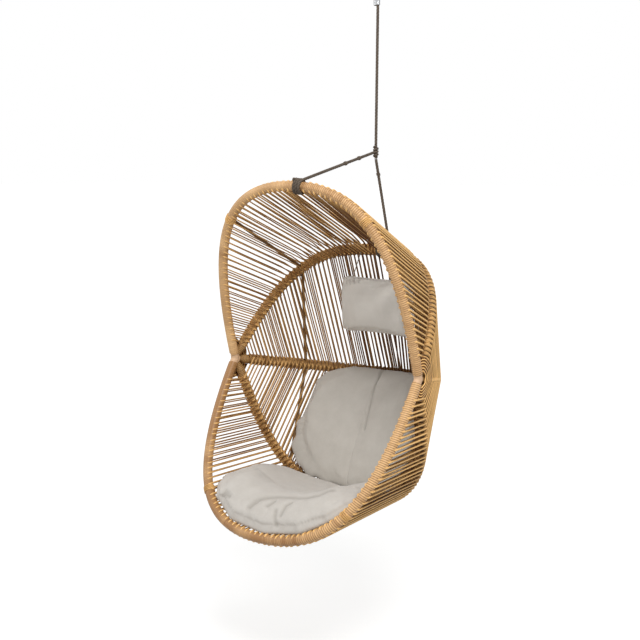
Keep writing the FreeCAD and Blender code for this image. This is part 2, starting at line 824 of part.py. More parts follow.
def skin(sections):
    """A closed solid over sections that have the same number of corners."""
    faces = [polygon_face(sections[0]), polygon_face(sections[-1])]
    for left, right in zip(sections, sections[1:]):
        count = len(left)
        for index in range(count):
            after = (index + 1) % count
            faces.append(polygon_face([left[index], left[after], right[index]]))
            faces.append(polygon_face([left[after], right[after], right[index]]))
    return closed_solid(faces)


def make_seat_cushion():
    """The seat pad lies on the weave from the lower arch to the ring: thin at its back, a dish
    in the middle and a fat roll along its front. Each station: how far across, start, end, and
    how much of the roll's and the dish's height it has."""
    sections = []
    for across, start, end, roll_share, dish_share in (
        (-1.0, 0.4, 0.8, 0.34, 0.6), (-0.95, 0.28, 0.9, 0.66, 1.0), (-0.8, 0.14, 0.96, 0.96, 1.2),
        (-0.45, 0.06, 0.98, 1.0, 1.0), (0.0, 0.05, 0.985, 0.98, 0.94), (0.45, 0.06, 0.98, 1.0, 1.0),
        (0.8, 0.14, 0.96, 0.96, 1.2), (0.95, 0.28, 0.9, 0.66, 1.0), (1.0, 0.4, 0.8, 0.34, 0.6),
    ):
        roll = size("seatRoll") * roll_share
        dish = size("seatDish") * dish_share
        rims = (min(size("seatFrontRim"), roll * 0.7), min(size("seatBackRim"), dish * 0.6))
        tops = [(0.8, roll), (0.58, (roll + dish) / 2), (0.3, dish)]
        x = across * size("seatHalfWidth")
        sections.append(pad_section("seat", x, start, end, rims, tops))
    add_feature("seat_cushion", skin(sections))


def make_back_cushion():
    """The back pad lies on the weave from the waist down to the seat, with a seam up its middle.
    Each station: how far across, start, end and how much of the thickness it has."""
    full = size("backThickness")
    rim = size("backRim")
    seam = size("backSeamDepth") / full
    sections = []
    for across, start, end, share in (
        (-1.0, 0.2, 0.6, 0.4), (-0.93, 0.1, 0.77, 0.66), (-0.78, 0.05, 0.87, 0.84),
        (-0.55, 0.02, 0.93, 0.95), (-0.3, 0.01, 0.956, 1.0), (-0.05, 0.01, 0.965, 1 - seam * 0.4),
        (0.0, 0.02, 0.96, 1 - seam), (0.05, 0.01, 0.965, 1 - seam * 0.4), (0.3, 0.01, 0.956, 1.0),
        (0.55, 0.02, 0.93, 0.95), (0.78, 0.05, 0.87, 0.84), (0.93, 0.1, 0.77, 0.66),
        (1.0, 0.2, 0.6, 0.4),
    ):
        thick = full * share
        side = min(rim * (1 + share) / 2, thick * 0.8)
        x = across * size("backHalfWidth")
        sections.append(pad_section("lower_back", x, start, end, (side, side), [(0.5, thick)]))
    add_feature("back_cushion", skin(sections))


def pillow_section(centre, up, out, half_height, thickness, rim):
    """The corners of a section of a loose pillow, crowned on both faces."""
    top = centre + up * half_height
    foot = centre - up * half_height
    draw = up * (rim / 2)
    front = out * (rim / 2)
    face = out * (thickness / 2)
    corners = []
    for start, middle, end, steps in (
        (foot + draw * 0.5 + front, centre + face, top - draw * 0.5 + front, CROWN_STEPS),
        (top - draw * 0.5 + front, top, top - draw * 0.5 - front, RIM_STEPS),
        (top - draw * 0.5 - front, centre - face, foot + draw * 0.5 - front, CROWN_STEPS),
        (foot + draw * 0.5 - front, foot, foot + draw * 0.5 + front, RIM_STEPS),
    ):
        corners += Part.Arc(start, middle, end).toShape().discretize(steps + 1)[:-1]
    return corners


def tie_top(side):
    """Where a tie meets the strand nearest to it, just under the upper arch."""
    first, second, shift = PANELS["upper_back"]
    count = size("strandsPerLayer")
    x = size("headAside") + side * size("tieTopSpacing") / 2
    phase = (shift + 0.5) % 1
    share = (round(share_at_x("upper_back", x) * count) + phase) / count
    s1, s2, c1, c2, along, normal, way1, way2 = strand_frame(first, second, share, False)
    lift = BOUND_RADIUS + size("strandWidth") + size("tieDiameter") / 2 + size("ropeClearance")
    return c1 + normal * lift


def head_frame():
    """The middle of the head cushion, which hangs straight below its ties, and its directions."""
    middle = (tie_top(-1) + tie_top(1)) * 0.5
    turn = math.radians(size("headTurn"))
    across = Vector(math.cos(turn), -math.sin(turn), 0)
    up = Vector(0, 0, 1)
    out = across.cross(up)
    low = middle.z - size("headDrop") - size("headHeight") / 2
    centre = Vector(size("headAside"), middle.y - size("headForward"), low)
    return centre, across, up, out


def make_head_cushion():
    half = size("headWidth") / 2
    tall = size("headHeight") / 2
    rim = size("headRim")
    centre, across, up, out = head_frame()
    sections = []
    for share, inset, thick in (
        (-1.0, 16, 0.22), (-0.95, 4, 0.42), (-0.8, 0, 0.74), (-0.4, 3, 0.96), (0.0, 4, 1.0),
        (0.4, 3, 0.96), (0.8, 0, 0.74), (0.95, 4, 0.42), (1.0, 16, 0.22),
    ):
        deep = size("headThickness") * thick
        spot = centre + across * (half * share)
        sections.append(pillow_section(spot, up, out, tall - inset, deep, min(rim, deep * 0.7)))
    add_feature("head_cushion", skin(sections))


def make_ties():
    """Two thin cords from the head cushion's top edge to the upper arch."""
    centre, across, up, out = head_frame()
    ties = []
    for side in (-1, 1):
        low = centre + up * (size("headHeight") / 2 + size("ropeClearance") - size("tieSink"))
        low = low + across * (side * size("tieSpacing") / 2)
        ties.append(solid_tube([tie_top(side), low], Vector(1, 0, 0), size("tieDiameter") / 2, LASHING_SIDES))
    add_feature("head_cushion_ties", Part.makeCompound(ties))


make_poles()
make_hub("left_hub", -1)
make_hub("right_hub", 1)
make_weave()
make_rib("left_rib", -1)
make_rib("right_rib", 1)
make_lumbar_bar()
make_bridle()
make_knot()
make_main_rope()
make_eye_sleeve()
make_ring()
make_hook()
make_seat_cushion()
make_back_cushion()
make_head_cushion()
make_ties()

doc.recompute()
os.makedirs("parts", exist_ok=True)
for name, node in nodes.items():
    if node.State and ("Invalid" in node.State or "Error" in node.State):
        raise SystemExit("%s failed: %s" % (name, node.State))
    if node.Shape.isNull() or not node.Shape.isValid():
        raise SystemExit("%s has a bad shape" % name)
    node.Shape.exportStep("parts/%s.step" % name)
    print(name, len(node.Shape.Solids), round(node.Shape.Volume / 1000, 1))
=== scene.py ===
"""The looks of the hanging egg chair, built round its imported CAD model. Lengths in the chair's
own frame are millimetres from the middle of the line between its side hubs: X to the chair's
left and right, -Y out of its open front, Z up."""

import math

import bpy
import numpy as np
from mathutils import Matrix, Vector


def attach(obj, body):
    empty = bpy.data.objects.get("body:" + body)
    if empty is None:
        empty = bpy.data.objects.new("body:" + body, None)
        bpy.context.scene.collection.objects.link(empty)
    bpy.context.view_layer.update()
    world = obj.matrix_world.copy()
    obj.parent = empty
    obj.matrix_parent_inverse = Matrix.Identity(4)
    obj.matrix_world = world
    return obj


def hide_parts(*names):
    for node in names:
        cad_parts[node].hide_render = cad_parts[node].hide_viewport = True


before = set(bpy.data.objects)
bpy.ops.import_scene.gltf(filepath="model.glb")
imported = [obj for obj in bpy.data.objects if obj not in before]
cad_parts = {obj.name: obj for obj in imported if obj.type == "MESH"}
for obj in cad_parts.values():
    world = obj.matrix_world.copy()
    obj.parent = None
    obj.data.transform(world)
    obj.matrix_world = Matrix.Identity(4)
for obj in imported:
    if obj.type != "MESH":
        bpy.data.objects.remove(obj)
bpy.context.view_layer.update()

HOOK_PLACE = np.array((57.0, 250.0, 1500.0))
MM = 0.001
chance = np.random.default_rng(11)


def place(points):
    """Millimetres in the chair's frame to metres in the row frame."""
    return (np.asarray(points, float) - HOOK_PLACE) * MM


def new_object(name, data):
    made = bpy.data.objects.new(name, data)
    bpy.context.scene.collection.objects.link(made)
    return made


def set_values(thing, **values):
    for name, value in values.items():
        setattr(thing, name, value)


def look_along(thing, way):
    """Turn a camera or lamp, which look down their own Z, to look along way."""
    thing.rotation_mode = "QUATERNION"
    thing.rotation_quaternion = way.to_track_quat("-Z", "Y")


# The camera

def make_camera():
    azimuth, elevation, distance = math.radians(37.417), math.radians(8.723), 4.6934
    back = Vector((
        math.sin(azimuth) * math.cos(elevation),
        -math.cos(azimuth) * math.cos(elevation),
        math.sin(elevation),
    ))
    camera = new_object("camera", bpy.data.cameras.new("camera"))
    camera.location = Vector(place((0, 0, 0))) + back * distance
    look_along(camera, -back)
    set_values(camera.data, sensor_width=36.0, lens=72.96, shift_x=-0.00296, shift_y=0.0750)
    bpy.context.scene.camera = camera


make_camera()
bpy.context.scene.view_settings.view_transform = "Standard"


# Materials

def linear(screen):
    """A colour given as three screen values from 0 to 255."""
    values = []
    for value in screen:
        share = value / 255
        values.append(share / 12.92 if share <= 0.04045 else ((share + 0.055) / 1.055) ** 2.4)
    return (*values, 1.0)


class Nodes:
    """A node tree to which nodes are added one after another."""

    def __init__(self, tree):
        self.tree = tree

    def put(self, socket, value):
        if isinstance(value, bpy.types.NodeSocket):
            self.tree.links.new(value, socket)
        else:
            socket.default_value = value

    def node(self, kind, **values):
        """A new node. Values named in small letters are its settings, the others its inputs."""
        made = self.tree.nodes.new(kind)
        for name, value in values.items():
            if name.islower():
                setattr(made, name, value)
            else:
                self.put(made.inputs[name.replace("_", " ")], value)
        return made

    def math(self, operation, first, second):
        made = self.node("ShaderNodeMath", operation=operation)
        self.put(made.inputs[0], first)
        self.put(made.inputs[1], second)
        return made.outputs[0]

    def spread(self, value, low, high, to_low=0.0, to_high=1.0):
        """A value from low to high turned into one from to_low to to_high."""
        made = self.node(
            "ShaderNodeMapRange", Value=value, From_Min=low, From_Max=high, To_Min=to_low, To_Max=to_high
        )
        return made.outputs["Result"]

    def seen(self):
        """1 where the camera looks, straight or by a gloss or clear piece, and 0 for other light."""
        rays = self.node("ShaderNodeLightPath").outputs
        either = self.math("MAXIMUM", rays["Is Camera Ray"], rays["Is Glossy Ray"])
        return self.math("MAXIMUM", either, rays["Is Transmission Ray"])


class Finish(Nodes):
    """The nodes of a material."""

    def __init__(self, name, roughness, **inputs):
        self.material = bpy.data.materials.new(name)
        self.material.use_nodes = True
        super().__init__(self.material.node_tree)
        self.shader = self.tree.nodes["Principled BSDF"]
        self.shader.inputs["Roughness"].default_value = roughness
        for socket, value in inputs.items():
            self.shader.inputs[socket.replace("_", " ")].default_value = value

    def attribute(self, name):
        return self.node("ShaderNodeAttribute", attribute_name=name).outputs["Fac"]

    def coordinates(self, output="Object", scale=(1.0, 1.0, 1.0)):
        source = self.node("ShaderNodeTexCoord").outputs[output]
        return self.node("ShaderNodeMapping", Vector=source, Scale=scale).outputs["Vector"]

    def noise(self, vector, scale, detail=3.0, roughness=0.55):
        values = dict(Vector=vector, Scale=scale, Detail=detail, Roughness=roughness)
        return self.node("ShaderNodeTexNoise", **values).outputs["Fac"]

    def vary(self, noise, low, high):
        """A noise, which seldom leaves 0.3 to 0.7, turned into one from low to high."""
        return self.spread(noise, 0.3, 0.7, low, high)

    def mix(self, share, first, second):
        made = self.node("ShaderNodeMix", data_type="RGBA", Factor=share, A=first, B=second)
        return made.outputs["Result"]

    def colour(self, value):
        self.put(self.shader.inputs["Base Color"], value)

    def rough(self, value):
        self.put(self.shader.inputs["Roughness"], value)

    def bump(self, height, strength, distance, under=None):
        made = self.node("ShaderNodeBump", Strength=strength, Distance=distance, Height=height)
        if under is not None:
            self.put(made.inputs["Normal"], under)
        self.put(self.shader.inputs["Normal"], made.outputs["Normal"])
        return made.outputs["Normal"]


def cane_finish(name, pale, deep, groove, roughness, gloss=0.4):
    """Rattan: the tone attribute sets lighter and darker cane, painted light and shade among it, the
    groove attribute darkens it with painted shade, fine fibres run along it.
    """
    finish = Finish(name, roughness, Specular_IOR_Level=gloss)
    fibres = finish.noise(finish.coordinates("UV", (45.0, 1500.0, 1.0)), 1.0, 4.0)
    clouds = finish.noise(finish.coordinates(), 16.0, 2.0)
    tone = finish.math("ADD", finish.attribute("tone"), finish.vary(fibres, -0.13, 0.13))
    tone = finish.math("ADD", tone, finish.vary(clouds, -0.08, 0.08))
    body = finish.mix(tone, linear(deep), linear(pale))
    finish.colour(finish.mix(finish.attribute("groove"), body, linear(groove)))
    finish.rough(finish.vary(fibres, roughness - 0.08, roughness + 0.1))
    finish.bump(fibres, 0.25, 0.0004)
    return finish.material


def fabric_finish(name, colour, shade, fold_shade):
    """A plain woven cotton: fine threads two ways, a faint mottle and soft sheen, with painted shade in
    folds.
    """
    finish = Finish(name, 0.92, Specular_IOR_Level=0.2, Sheen_Weight=0.25, Sheen_Roughness=0.5)
    spot = finish.coordinates()
    threads = [
        finish.node(
            "ShaderNodeTexWave", bands_direction=way, Vector=spot, Scale=420.0, Distortion=1.6, Detail=1.0
        ).outputs["Fac"]
        for way in ("X", "Z")
    ]
    weave = finish.math("MULTIPLY", *threads)
    mottle = finish.noise(spot, 22.0)
    slub = finish.noise(finish.coordinates("Object", (340.0, 340.0, 120.0)), 1.0, 2.0)
    share = finish.math("ADD", finish.vary(mottle, 0.0, 0.45), finish.spread(slub, 0.35, 0.7, 0.0, 0.2))
    cloth = finish.mix(share, linear(colour), linear(shade))
    finish.colour(finish.mix(finish.attribute("crease"), cloth, linear(fold_shade)))
    under = finish.bump(weave, 0.3, 0.0006)
    finish.bump(slub, 0.2, 0.0008, under)
    return finish.material


def rope_finish(name, colour, shade):
    """Fibre rope: hairy, dull, with painted shade between its strands."""
    finish = Finish(name, 0.85, Specular_IOR_Level=0.25)
    fibres = finish.noise(finish.coordinates("UV", (120.0, 1400.0, 1.0)), 1.0, 4.0)
    clouds = finish.noise(finish.coordinates(), 40.0)
    tone = finish.math("ADD", finish.vary(fibres, 0.0, 0.6), finish.vary(clouds, -0.1, 0.3))
    body = finish.mix(tone, linear(shade), linear(colour))
    finish.colour(finish.mix(finish.attribute("groove"), body, linear((38, 32, 28))))
    finish.bump(fibres, 0.5, 0.0006)
    return finish.material


def steel_finish(name):
    """Zinc-plated steel, brushed by use."""
    finish = Finish(name, 0.32, Metallic=1.0)
    clouds = finish.noise(finish.coordinates(), 90.0, 4.0)
    scratches = finish.noise(finish.coordinates("Object", (900.0, 120.0, 120.0)), 1.0)
    finish.colour(finish.mix(clouds, linear((150, 152, 154)), linear((186, 187, 188))))
    finish.rough(finish.vary(scratches, 0.22, 0.45))
    finish.bump(scratches, 0.12, 0.0002)
    return finish.material


RING_CANE = cane_finish("ring_cane", (228, 186, 133), (158, 116, 72), (134, 88, 46), 0.46)
ARCH_CANE = cane_finish("arch_cane", (216, 170, 108), (104, 68, 32), (46, 27, 12), 0.5, 0.25)
STRAND_CANE = cane_finish("strand_cane", (246, 198, 128), (98, 58, 22), (60, 38, 18), 0.5, 0.22)
BARE_CANE = cane_finish("bare_cane", (222, 186, 150), (192, 154, 118), (120, 90, 62), 0.5)
RIB_CANE = cane_finish("rib_cane", (142, 110, 72), (92, 68, 42), (60, 42, 26), 0.5, 0.25)
ROPE_FIBRE = rope_finish("rope_fibre", (116, 104, 92), (78, 68, 59))
TIE_FIBRE = rope_finish("tie_fibre", (190, 184, 175), (150, 144, 136))
STEEL = steel_finish("plated_steel")
SEAT_FABRIC = fabric_finish("seat_fabric", (198, 193, 186), (182, 176, 168), (140, 134, 125))
BACK_FABRIC = fabric_finish("back_fabric", (190, 185, 177), (174, 169, 160), (140, 135, 126))
HEAD_FABRIC = fabric_finish("head_fabric", (226, 221, 213), (210, 205, 196), (156, 151, 142))


# Meshes from rows of points

def unit(vectors):
    return vectors / np.linalg.norm(vectors, axis=-1, keepdims=True)


def add_piece(name, grids, material, body, replaces=()):
    """One piece from grids of points. Each grid is (points, tone, groove, along, around, shift):
    rows of points whose last column joins the first again, shift rows further on. A grid that
    was left out is None."""
    points, quads, maps, tones, grooves = [], [], [], [], []
    base = 0
    for grid, tone, groove, along, around, shift in filter(None, grids):
        rows, columns = grid.shape[:2]
        index = base + np.arange(rows * columns).reshape(rows, columns)
        right = np.roll(index, -1, axis=1)
        if shift:
            right[shift:, -1] = index[:rows - shift, 0]
            right[:shift, -1] = index[0, 0]
        faces = np.stack((index[:-1], right[:-1], right[1:], index[1:]), axis=-1)
        u = np.broadcast_to(along, (rows, columns))
        v = np.broadcast_to(np.arange(columns + 1) / columns * around, (rows, columns + 1))
        us = np.stack((u[:-1], u[:-1], u[1:], u[1:]), axis=-1)
        vs = np.stack((v[:-1, :-1], v[:-1, 1:], v[1:, 1:], v[1:, :-1]), axis=-1)
        keep = slice(shift, None)
        quads.append(faces[keep].reshape(-1, 4))
        maps.append(np.stack((us[keep], vs[keep]), axis=-1).reshape(-1, 2))
        points.append(grid.reshape(-1, 3))
        tones.append(np.broadcast_to(tone, (rows, columns)).ravel())
        grooves.append(np.broadcast_to(groove, (rows, columns)).ravel())
        base += rows * columns
    points = np.concatenate(points)
    quads = np.concatenate(quads)
    mesh = bpy.data.meshes.new(name)
    mesh.vertices.add(len(points))
    mesh.vertices.foreach_set("co", place(points).astype(np.float32).ravel())
    mesh.loops.add(quads.size)
    mesh.loops.foreach_set("vertex_index", quads.astype(np.int32).ravel())
    mesh.polygons.add(len(quads))
    mesh.polygons.foreach_set("loop_start", np.arange(0, quads.size, 4, dtype=np.int32))
    mesh.update(calc_edges=True)
    mesh.polygons.foreach_set("use_smooth", np.ones(len(quads), bool))
    uv = mesh.uv_layers.new(name="strip")
    uv.data.foreach_set("uv", (np.concatenate(maps) * MM).astype(np.float32).ravel())
    for label, values in (("tone", tones), ("groove", grooves)):
        attribute = mesh.attributes.new(label, "FLOAT", "POINT")
        attribute.data.foreach_set("value", np.concatenate(values).astype(np.float32))
    mesh.materials.append(material)
    piece = new_object(name, mesh)
    finish_piece(piece, body, replaces)
    return piece


def finish_piece(piece, body, replaces=()):
    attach(piece, body)
    if replaces:
        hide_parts(*replaces)


def travel(line):
    """The distance from the start at each point of a line."""
    steps = np.linalg.norm(np.diff(line, axis=0), axis=1)
    return np.concatenate(([0.0], np.cumsum(steps)))


def look_up(values, marks, rows):
    """The rows, which are given at marks, at other values."""
    return np.stack([np.interp(values, marks, rows[:, axis]) for axis in range(3)], axis=-1)


def evenly(line, step):
    """The line again, with points a step apart."""
    marks = travel(line)
    goals = np.linspace(0, marks[-1], max(3, int(round(marks[-1] / step)) + 1))
    return look_up(goals, marks, line)


def turned(angles, first, second):
    """The directions at angles from the first one towards the second."""
    return np.cos(angles)[..., None] * first + np.sin(angles)[..., None] * second


def sides_along(line, first_side):
    """Two directions square to the line at each point, carried along it without twist."""
    ways = unit(np.gradient(line, axis=0))
    sides = np.empty_like(line)
    side = np.asarray(first_side, float)
    for index, way in enumerate(ways):
        side = side - way * side.dot(way)
        side = side / np.linalg.norm(side)
        sides[index] = side
    return sides, np.cross(ways, sides)


def tube(line, radius, columns, first_side, spin=0.0):
    """A grid of points round a line. The radius may differ by row and column, the spin by row."""
    sides, others = sides_along(line, first_side)
    angles = np.arange(columns) / columns * 2 * math.pi + np.reshape(spin, (-1, 1))
    radius = radius if np.ndim(radius) == 2 else np.reshape(radius, (-1, 1))
    return line[:, None] + turned(angles, sides[:, None], others[:, None]) * radius[..., None]


def closed(grid):
    """The grid with both its ends drawn together to a point."""
    first = np.broadcast_to(grid[0].mean(axis=0), grid[:1].shape)
    last = np.broadcast_to(grid[-1].mean(axis=0), grid[:1].shape)
    return np.concatenate((first, grid, last))


def capped(rows):
    """The rows with the first and the last again, for the two points that close a tube."""
    return np.concatenate((rows[:1], rows, rows[-1:]))


def plain_tube(line, radius, columns, first_side, tone=0.6, groove=0.0):
    """A closed round tube as a grid for add_piece."""
    grid = closed(tube(line, radius, columns, first_side))
    tone = capped(np.broadcast_to(tone, (len(line), columns)))
    return grid, tone, groove, capped(travel(line))[:, None], 2 * math.pi * np.mean(radius), 0


# Ropes

ROPE_RADIUS = 5.0
ROPE_LAY = 34.0
ROPE_STEP = 2.4
ROPE_COLUMNS = 24


def smooth_line(name, points):
    """The line of one open NURBS spline with these control points, in the chair's frame."""
    curve = bpy.data.curves.new(name, "CURVE")
    curve.dimensions = "3D"
    curve.resolution_u = 12
    spline = curve.splines.new("NURBS")
    spline.points.add(len(points) - 1)
    for spot, point in zip(spline.points, points):
        spot.co = (*map(float, point), 1.0)
    spline.order_u = 3
    spline.use_endpoint_u = True
    guide = new_object(name, curve)
    bpy.context.view_layer.update()
    mesh = bpy.data.meshes.new_from_object(guide)
    line = np.array([vertex.co[:] for vertex in mesh.vertices])
    bpy.data.objects.remove(guide)
    bpy.data.curves.remove(curve)
    bpy.data.meshes.remove(mesh)
    return line


def laid_rope(line, first_side, radius=ROPE_RADIUS, lay=ROPE_LAY, columns=ROPE_COLUMNS, strands=3):
    """A rope of twisted strands round a line, as a grid for add_piece."""
    line = evenly(line, ROPE_STEP)
    marks = travel(line)
    angles = np.arange(columns) / columns * 2 * math.pi
    lobe = np.abs(np.cos(angles * strands / 2))
    shape = radius * (0.9 + 0.18 * lobe ** 0.7)
    grid = tube(line, shape[None, :], columns, first_side, marks / lay * 2 * math.pi)
    # Painted shade in the recesses between the strands.
    groove = np.clip(1 - lobe * 2.2, 0, 1)[None, :] * 0.8
    return closed(grid), 0.6, groove, capped(marks)[:, None], 2 * math.pi * radius, 0


KNOT = np.array((57.0, 250.0, 774.0))
KNOT_LENGTH = 50.0
KNOT_RADIUS = 10.5
MAIN_ROPE_ROUTE = [
    (57, 250, 799.1), (62, 250, 1302), (62.2, 250, 1326), (77, 250, 1344.2), (77, 250, 1378),
    (37, 250, 1378), (37, 250, 1344.2), (51.8, 250, 1326), (51.8, 250, 1292),
]
SLEEVE_FOOT = 1294.0
SLEEVE_TOP = 1322.0
SLEEVE_CRIMPS = (1301.0, 1308.0, 1315.0)


def make_eye_sleeve():
    """A pressed sleeve: a slot-shaped tube with three crimps."""
    heights = np.linspace(SLEEVE_FOOT, SLEEVE_TOP, 57)
    crimps = sum(np.exp(-((heights - z) / 1.6) ** 2) for z in SLEEVE_CRIMPS)
    rows = [(5.5, SLEEVE_FOOT), (7.5, SLEEVE_FOOT)]
    rows = rows + [(8.0 - 0.7 * crimp, z) for crimp, z in zip(crimps, heights)]
    rows = rows + [(7.5, SLEEVE_TOP), (5.5, SLEEVE_TOP), (5.5, SLEEVE_FOOT)]
    angles = np.arange(48) / 48 * 2 * math.pi
    x = HOOK_PLACE[0] + np.clip(np.cos(angles) * 40, -5.0, 5.0)
    grid = np.array([
        np.stack((x + r * np.cos(angles), HOOK_PLACE[1] + r * np.sin(angles), z + 0 * angles), axis=1)
        for r, z in rows
    ])
    along = np.array([z for r, z in rows])[:, None]
    grids = [(grid, 0.5, 0.0, along, 50.0, 0)]
    return add_piece("eye_sleeve_steel", grids, STEEL, "rope", ["eye_sleeve"])


def make_main_rope():
    sleeve = make_eye_sleeve()
    line = smooth_line("main_rope_line", MAIN_ROPE_ROUTE)
    grids = [laid_rope(line, (0, 1, 0))]
    rope = add_piece("main_rope_laid", grids, ROPE_FIBRE, "rope", ["main_rope"])


# The five arches, smooth curves from hub to hub

HUB_HALF_WIDTH = 416.0
POLE_RADIUS = 14.0
BOUND_RADIUS = 17.6
FINE_STEPS = 400
STEADY_X = 380.0


class Arch:
    """A bent pole in one plane: where its top is, how it leans out at the hub and how far it
    holds its course there and at its top."""

    def __init__(self, back, rise, lean, pull, crown, start):
        top = np.array((0.0, back, rise))
        height = np.linalg.norm(top)
        up = top / height
        self.normal = np.cross((1.0, 0.0, 0.0), up)
        lean = math.radians(lean)
        across = (HUB_HALF_WIDTH, HUB_HALF_WIDTH + pull * math.sin(lean), crown, 0.0)
        upward = (0.0, pull * math.cos(lean), height, height)
        t = np.linspace(0, 1, FINE_STEPS + 1)
        weights = ((1 - t) ** 3, 3 * (1 - t) ** 2 * t, 3 * (1 - t) * t ** 2, t ** 3)
        x = sum(w * a for w, a in zip(weights, across))
        v = sum(w * a for w, a in zip(weights, upward))
        half = np.stack((x, v * up[1], v * up[2]), axis=1)
        whole = np.concatenate((half * (-1, 1, 1), half[-2::-1]))
        from_ends = np.minimum(
            np.linalg.norm(whole - whole[0], axis=1), np.linalg.norm(whole - whole[-1], axis=1)
        )
        self.points = whole[from_ends >= start]
        self.marks = travel(self.points)
        self.length = self.marks[-1]
        self.start = start
        self.ways = unit(np.gradient(self.points, axis=0))

    def at(self, distance):
        """The point and direction at a distance, or at each of several, from the -X end."""
        spot = look_up(distance, self.marks, self.points)
        return spot, unit(look_up(distance, self.marks, self.ways))

    def distance_at_x(self, x):
        """The distance at X, for the middle of the pole, where X always grows."""
        middle = np.abs(self.points[:, 0]) < STEADY_X
        return float(np.interp(x, self.points[middle, 0], self.marks[middle]))


RINGS = ("upper_ring", "lower_ring")
COURSES = {
    "upper_ring": (-181.7, 654.3, 0.88, 475.5, 303.6),
    "upper_arch": (296.4, 414.6, -5.99, 422.2, 232.3),
    "waist": (456.6, -76.7, -8.05, 97.0, 297.7),
    "lower_arch": (193.8, -520.1, -14.97, 170.3, 415.3),
    "lower_ring": (-344.1, -558.2, 0.35, 466.0, 295.1),
}
RING_START = 23.0
ARM_END = 47.0
BARE_HUB = 12.0
arches = {
    name: Arch(*course, RING_START if name in RINGS else ARM_END) for name, course in COURSES.items()
}
bound_arches = {name: Arch(*COURSES[name], BARE_HUB) for name in RINGS}


# The bridle: each leg runs from the knot to a pole and winds round it

LASHING_TURNS = 3
LASHING_PITCH = 10.6
TURN_POINTS = 16
ROPE_CLEARANCE = 0.35
LASHED = {"upper_ring": 41.0, "upper_arch": 60.0}


def bridle_route(arch_name, leave, side):
    """A bridle leg's turns round its pole. leave is where the rope leaves the knot's middle
    line, side is 1 over the top of the pole and -1 behind it."""
    arch = arches[arch_name]
    centre, axis = arch.at(arch.distance_at_x(LASHED[arch_name]))
    radius = (BOUND_RADIUS + ROPE_CLEARANCE + ROPE_RADIUS) / math.cos(math.pi / TURN_POINTS) ** 2
    away = leave - centre
    away = away - axis * away.dot(axis)
    distance = np.linalg.norm(away)
    angle = -math.asin(min(0.9, radius / distance)) * side
    away = away / distance
    rope_way = away * math.cos(angle) + np.cross(axis, away) * math.sin(angle)
    across = np.cross(axis, rope_way) * side
    start = centre - axis * (LASHING_PITCH * LASHING_TURNS / 2)
    route = []
    for step in range(LASHING_TURNS * TURN_POINTS + 1):
        turn = 2 * math.pi * step / TURN_POINTS
        spot = start + axis * (LASHING_PITCH * step / TURN_POINTS)
        route.append(spot + across * (radius * math.cos(turn)) + rope_way * (radius * math.sin(turn)))
    return route[::-1]


def make_bridle():
    low = KNOT - (0, 0, KNOT_LENGTH / 2)
    for name, arch_name, leave, reach, side, bumps in (
        ("front", "upper_ring", KNOT, KNOT_RADIUS + ROPE_CLEARANCE, 1, (0.24, 0.43)),
        ("rear", "upper_arch", low, 1.6, -1, (0.17,)),
    ):
        winding = bridle_route(arch_name, leave, side)
        toward = unit(winding[0] - leave)
        route = [leave + toward * reach] + winding
        line = smooth_line(name + "_bridle_line", route)
        nodes = [name + "_rope", name + "_lashing"]
        name = name + "_bridle"
        rope = add_piece(name, [laid_rope(line, (0, 0.3, 1))], ROPE_FIBRE, "chair", nodes)
        tied = [make_hitch(name + "_hitch", line[-1])]
        for index, share in enumerate(bumps):
            whipping = "%s_whipping_%d" % (name, index + 1)
            tied.append(make_whipping(whipping, leave, winding[0], share))


def make_whipping(name, first, last, share):
    """A few tight turns of the rope's own yarn round a bridle leg."""
    way = unit(last - first)
    side = unit(np.cross(way, (0.3, 0.0, 1.0)))
    other = np.cross(way, side)
    turn = np.linspace(0, 6 * math.pi, 73)
    line = first + (last - first) * share + way * (turn[:, None] / (6 * math.pi) - 0.5) * 9.0
    line = line + turned(turn, side, other) * (ROPE_RADIUS + 0.9)
    return add_piece(name, [plain_tube(line, 1.7, 8, way)], ROPE_FIBRE, "chair")


def make_hitch(name, middle):
    """The small overhand knot that ends a bridle leg."""
    t = np.linspace(0, 2 * math.pi, 73)
    x, y = np.sin(t) + 2 * np.sin(2 * t), np.cos(t) - 2 * np.cos(2 * t)
    line = middle + np.stack((x, y, -np.sin(3 * t)), axis=1) * 2.6
    return add_piece(name, [plain_tube(line, 3.4, 14, (0, 0, 1))], ROPE_FIBRE, "chair")


def make_knot():
    """Where the ropes meet: a core with turns drawn tight round it."""
    half = np.array((0, 0, KNOT_LENGTH / 2))
    core = np.linspace(KNOT - half, KNOT + half, 24)
    turns, rope = 4, 4.4
    t = np.linspace(0, 1, turns * 24 + 1)
    radius = (KNOT_RADIUS - rope) * np.clip(np.minimum(t, 1 - t) * 12, 0.25, 1)
    height = (t - 0.5) * (KNOT_LENGTH - 2 * rope)
    angle = t * turns * 2 * math.pi
    coil = KNOT + np.stack((radius * np.cos(angle), radius * np.sin(angle), height), axis=1)
    grids = [laid_rope(core, (1, 0, 0)), laid_rope(coil, (0, 0, 1), rope, 26.0, 18)]
    add_piece("bridle_knot_turns", grids, ROPE_FIBRE, "chair", ["bridle_knot"])


make_main_rope()
make_bridle()
make_knot()


# The binding of the poles: a peel wound round and round

PEEL_PITCH = {"upper_ring": 7.1, "lower_ring": 7.5, "upper_arch": 6.2, "waist": 6.2, "lower_arch": 6.2}
PEEL_ROWS = (0.0, 0.1, 0.22, 0.5, 0.78, 0.9)
PEEL_COLUMNS = 24
BARE_END = 3.0
BARREL_HEIGHT = 4.4
UV_STRETCH = 7


def smooth_step(value, low, high):
    share = np.clip((value - low) / (high - low), 0, 1)
    return share * share * (3 - 2 * share)


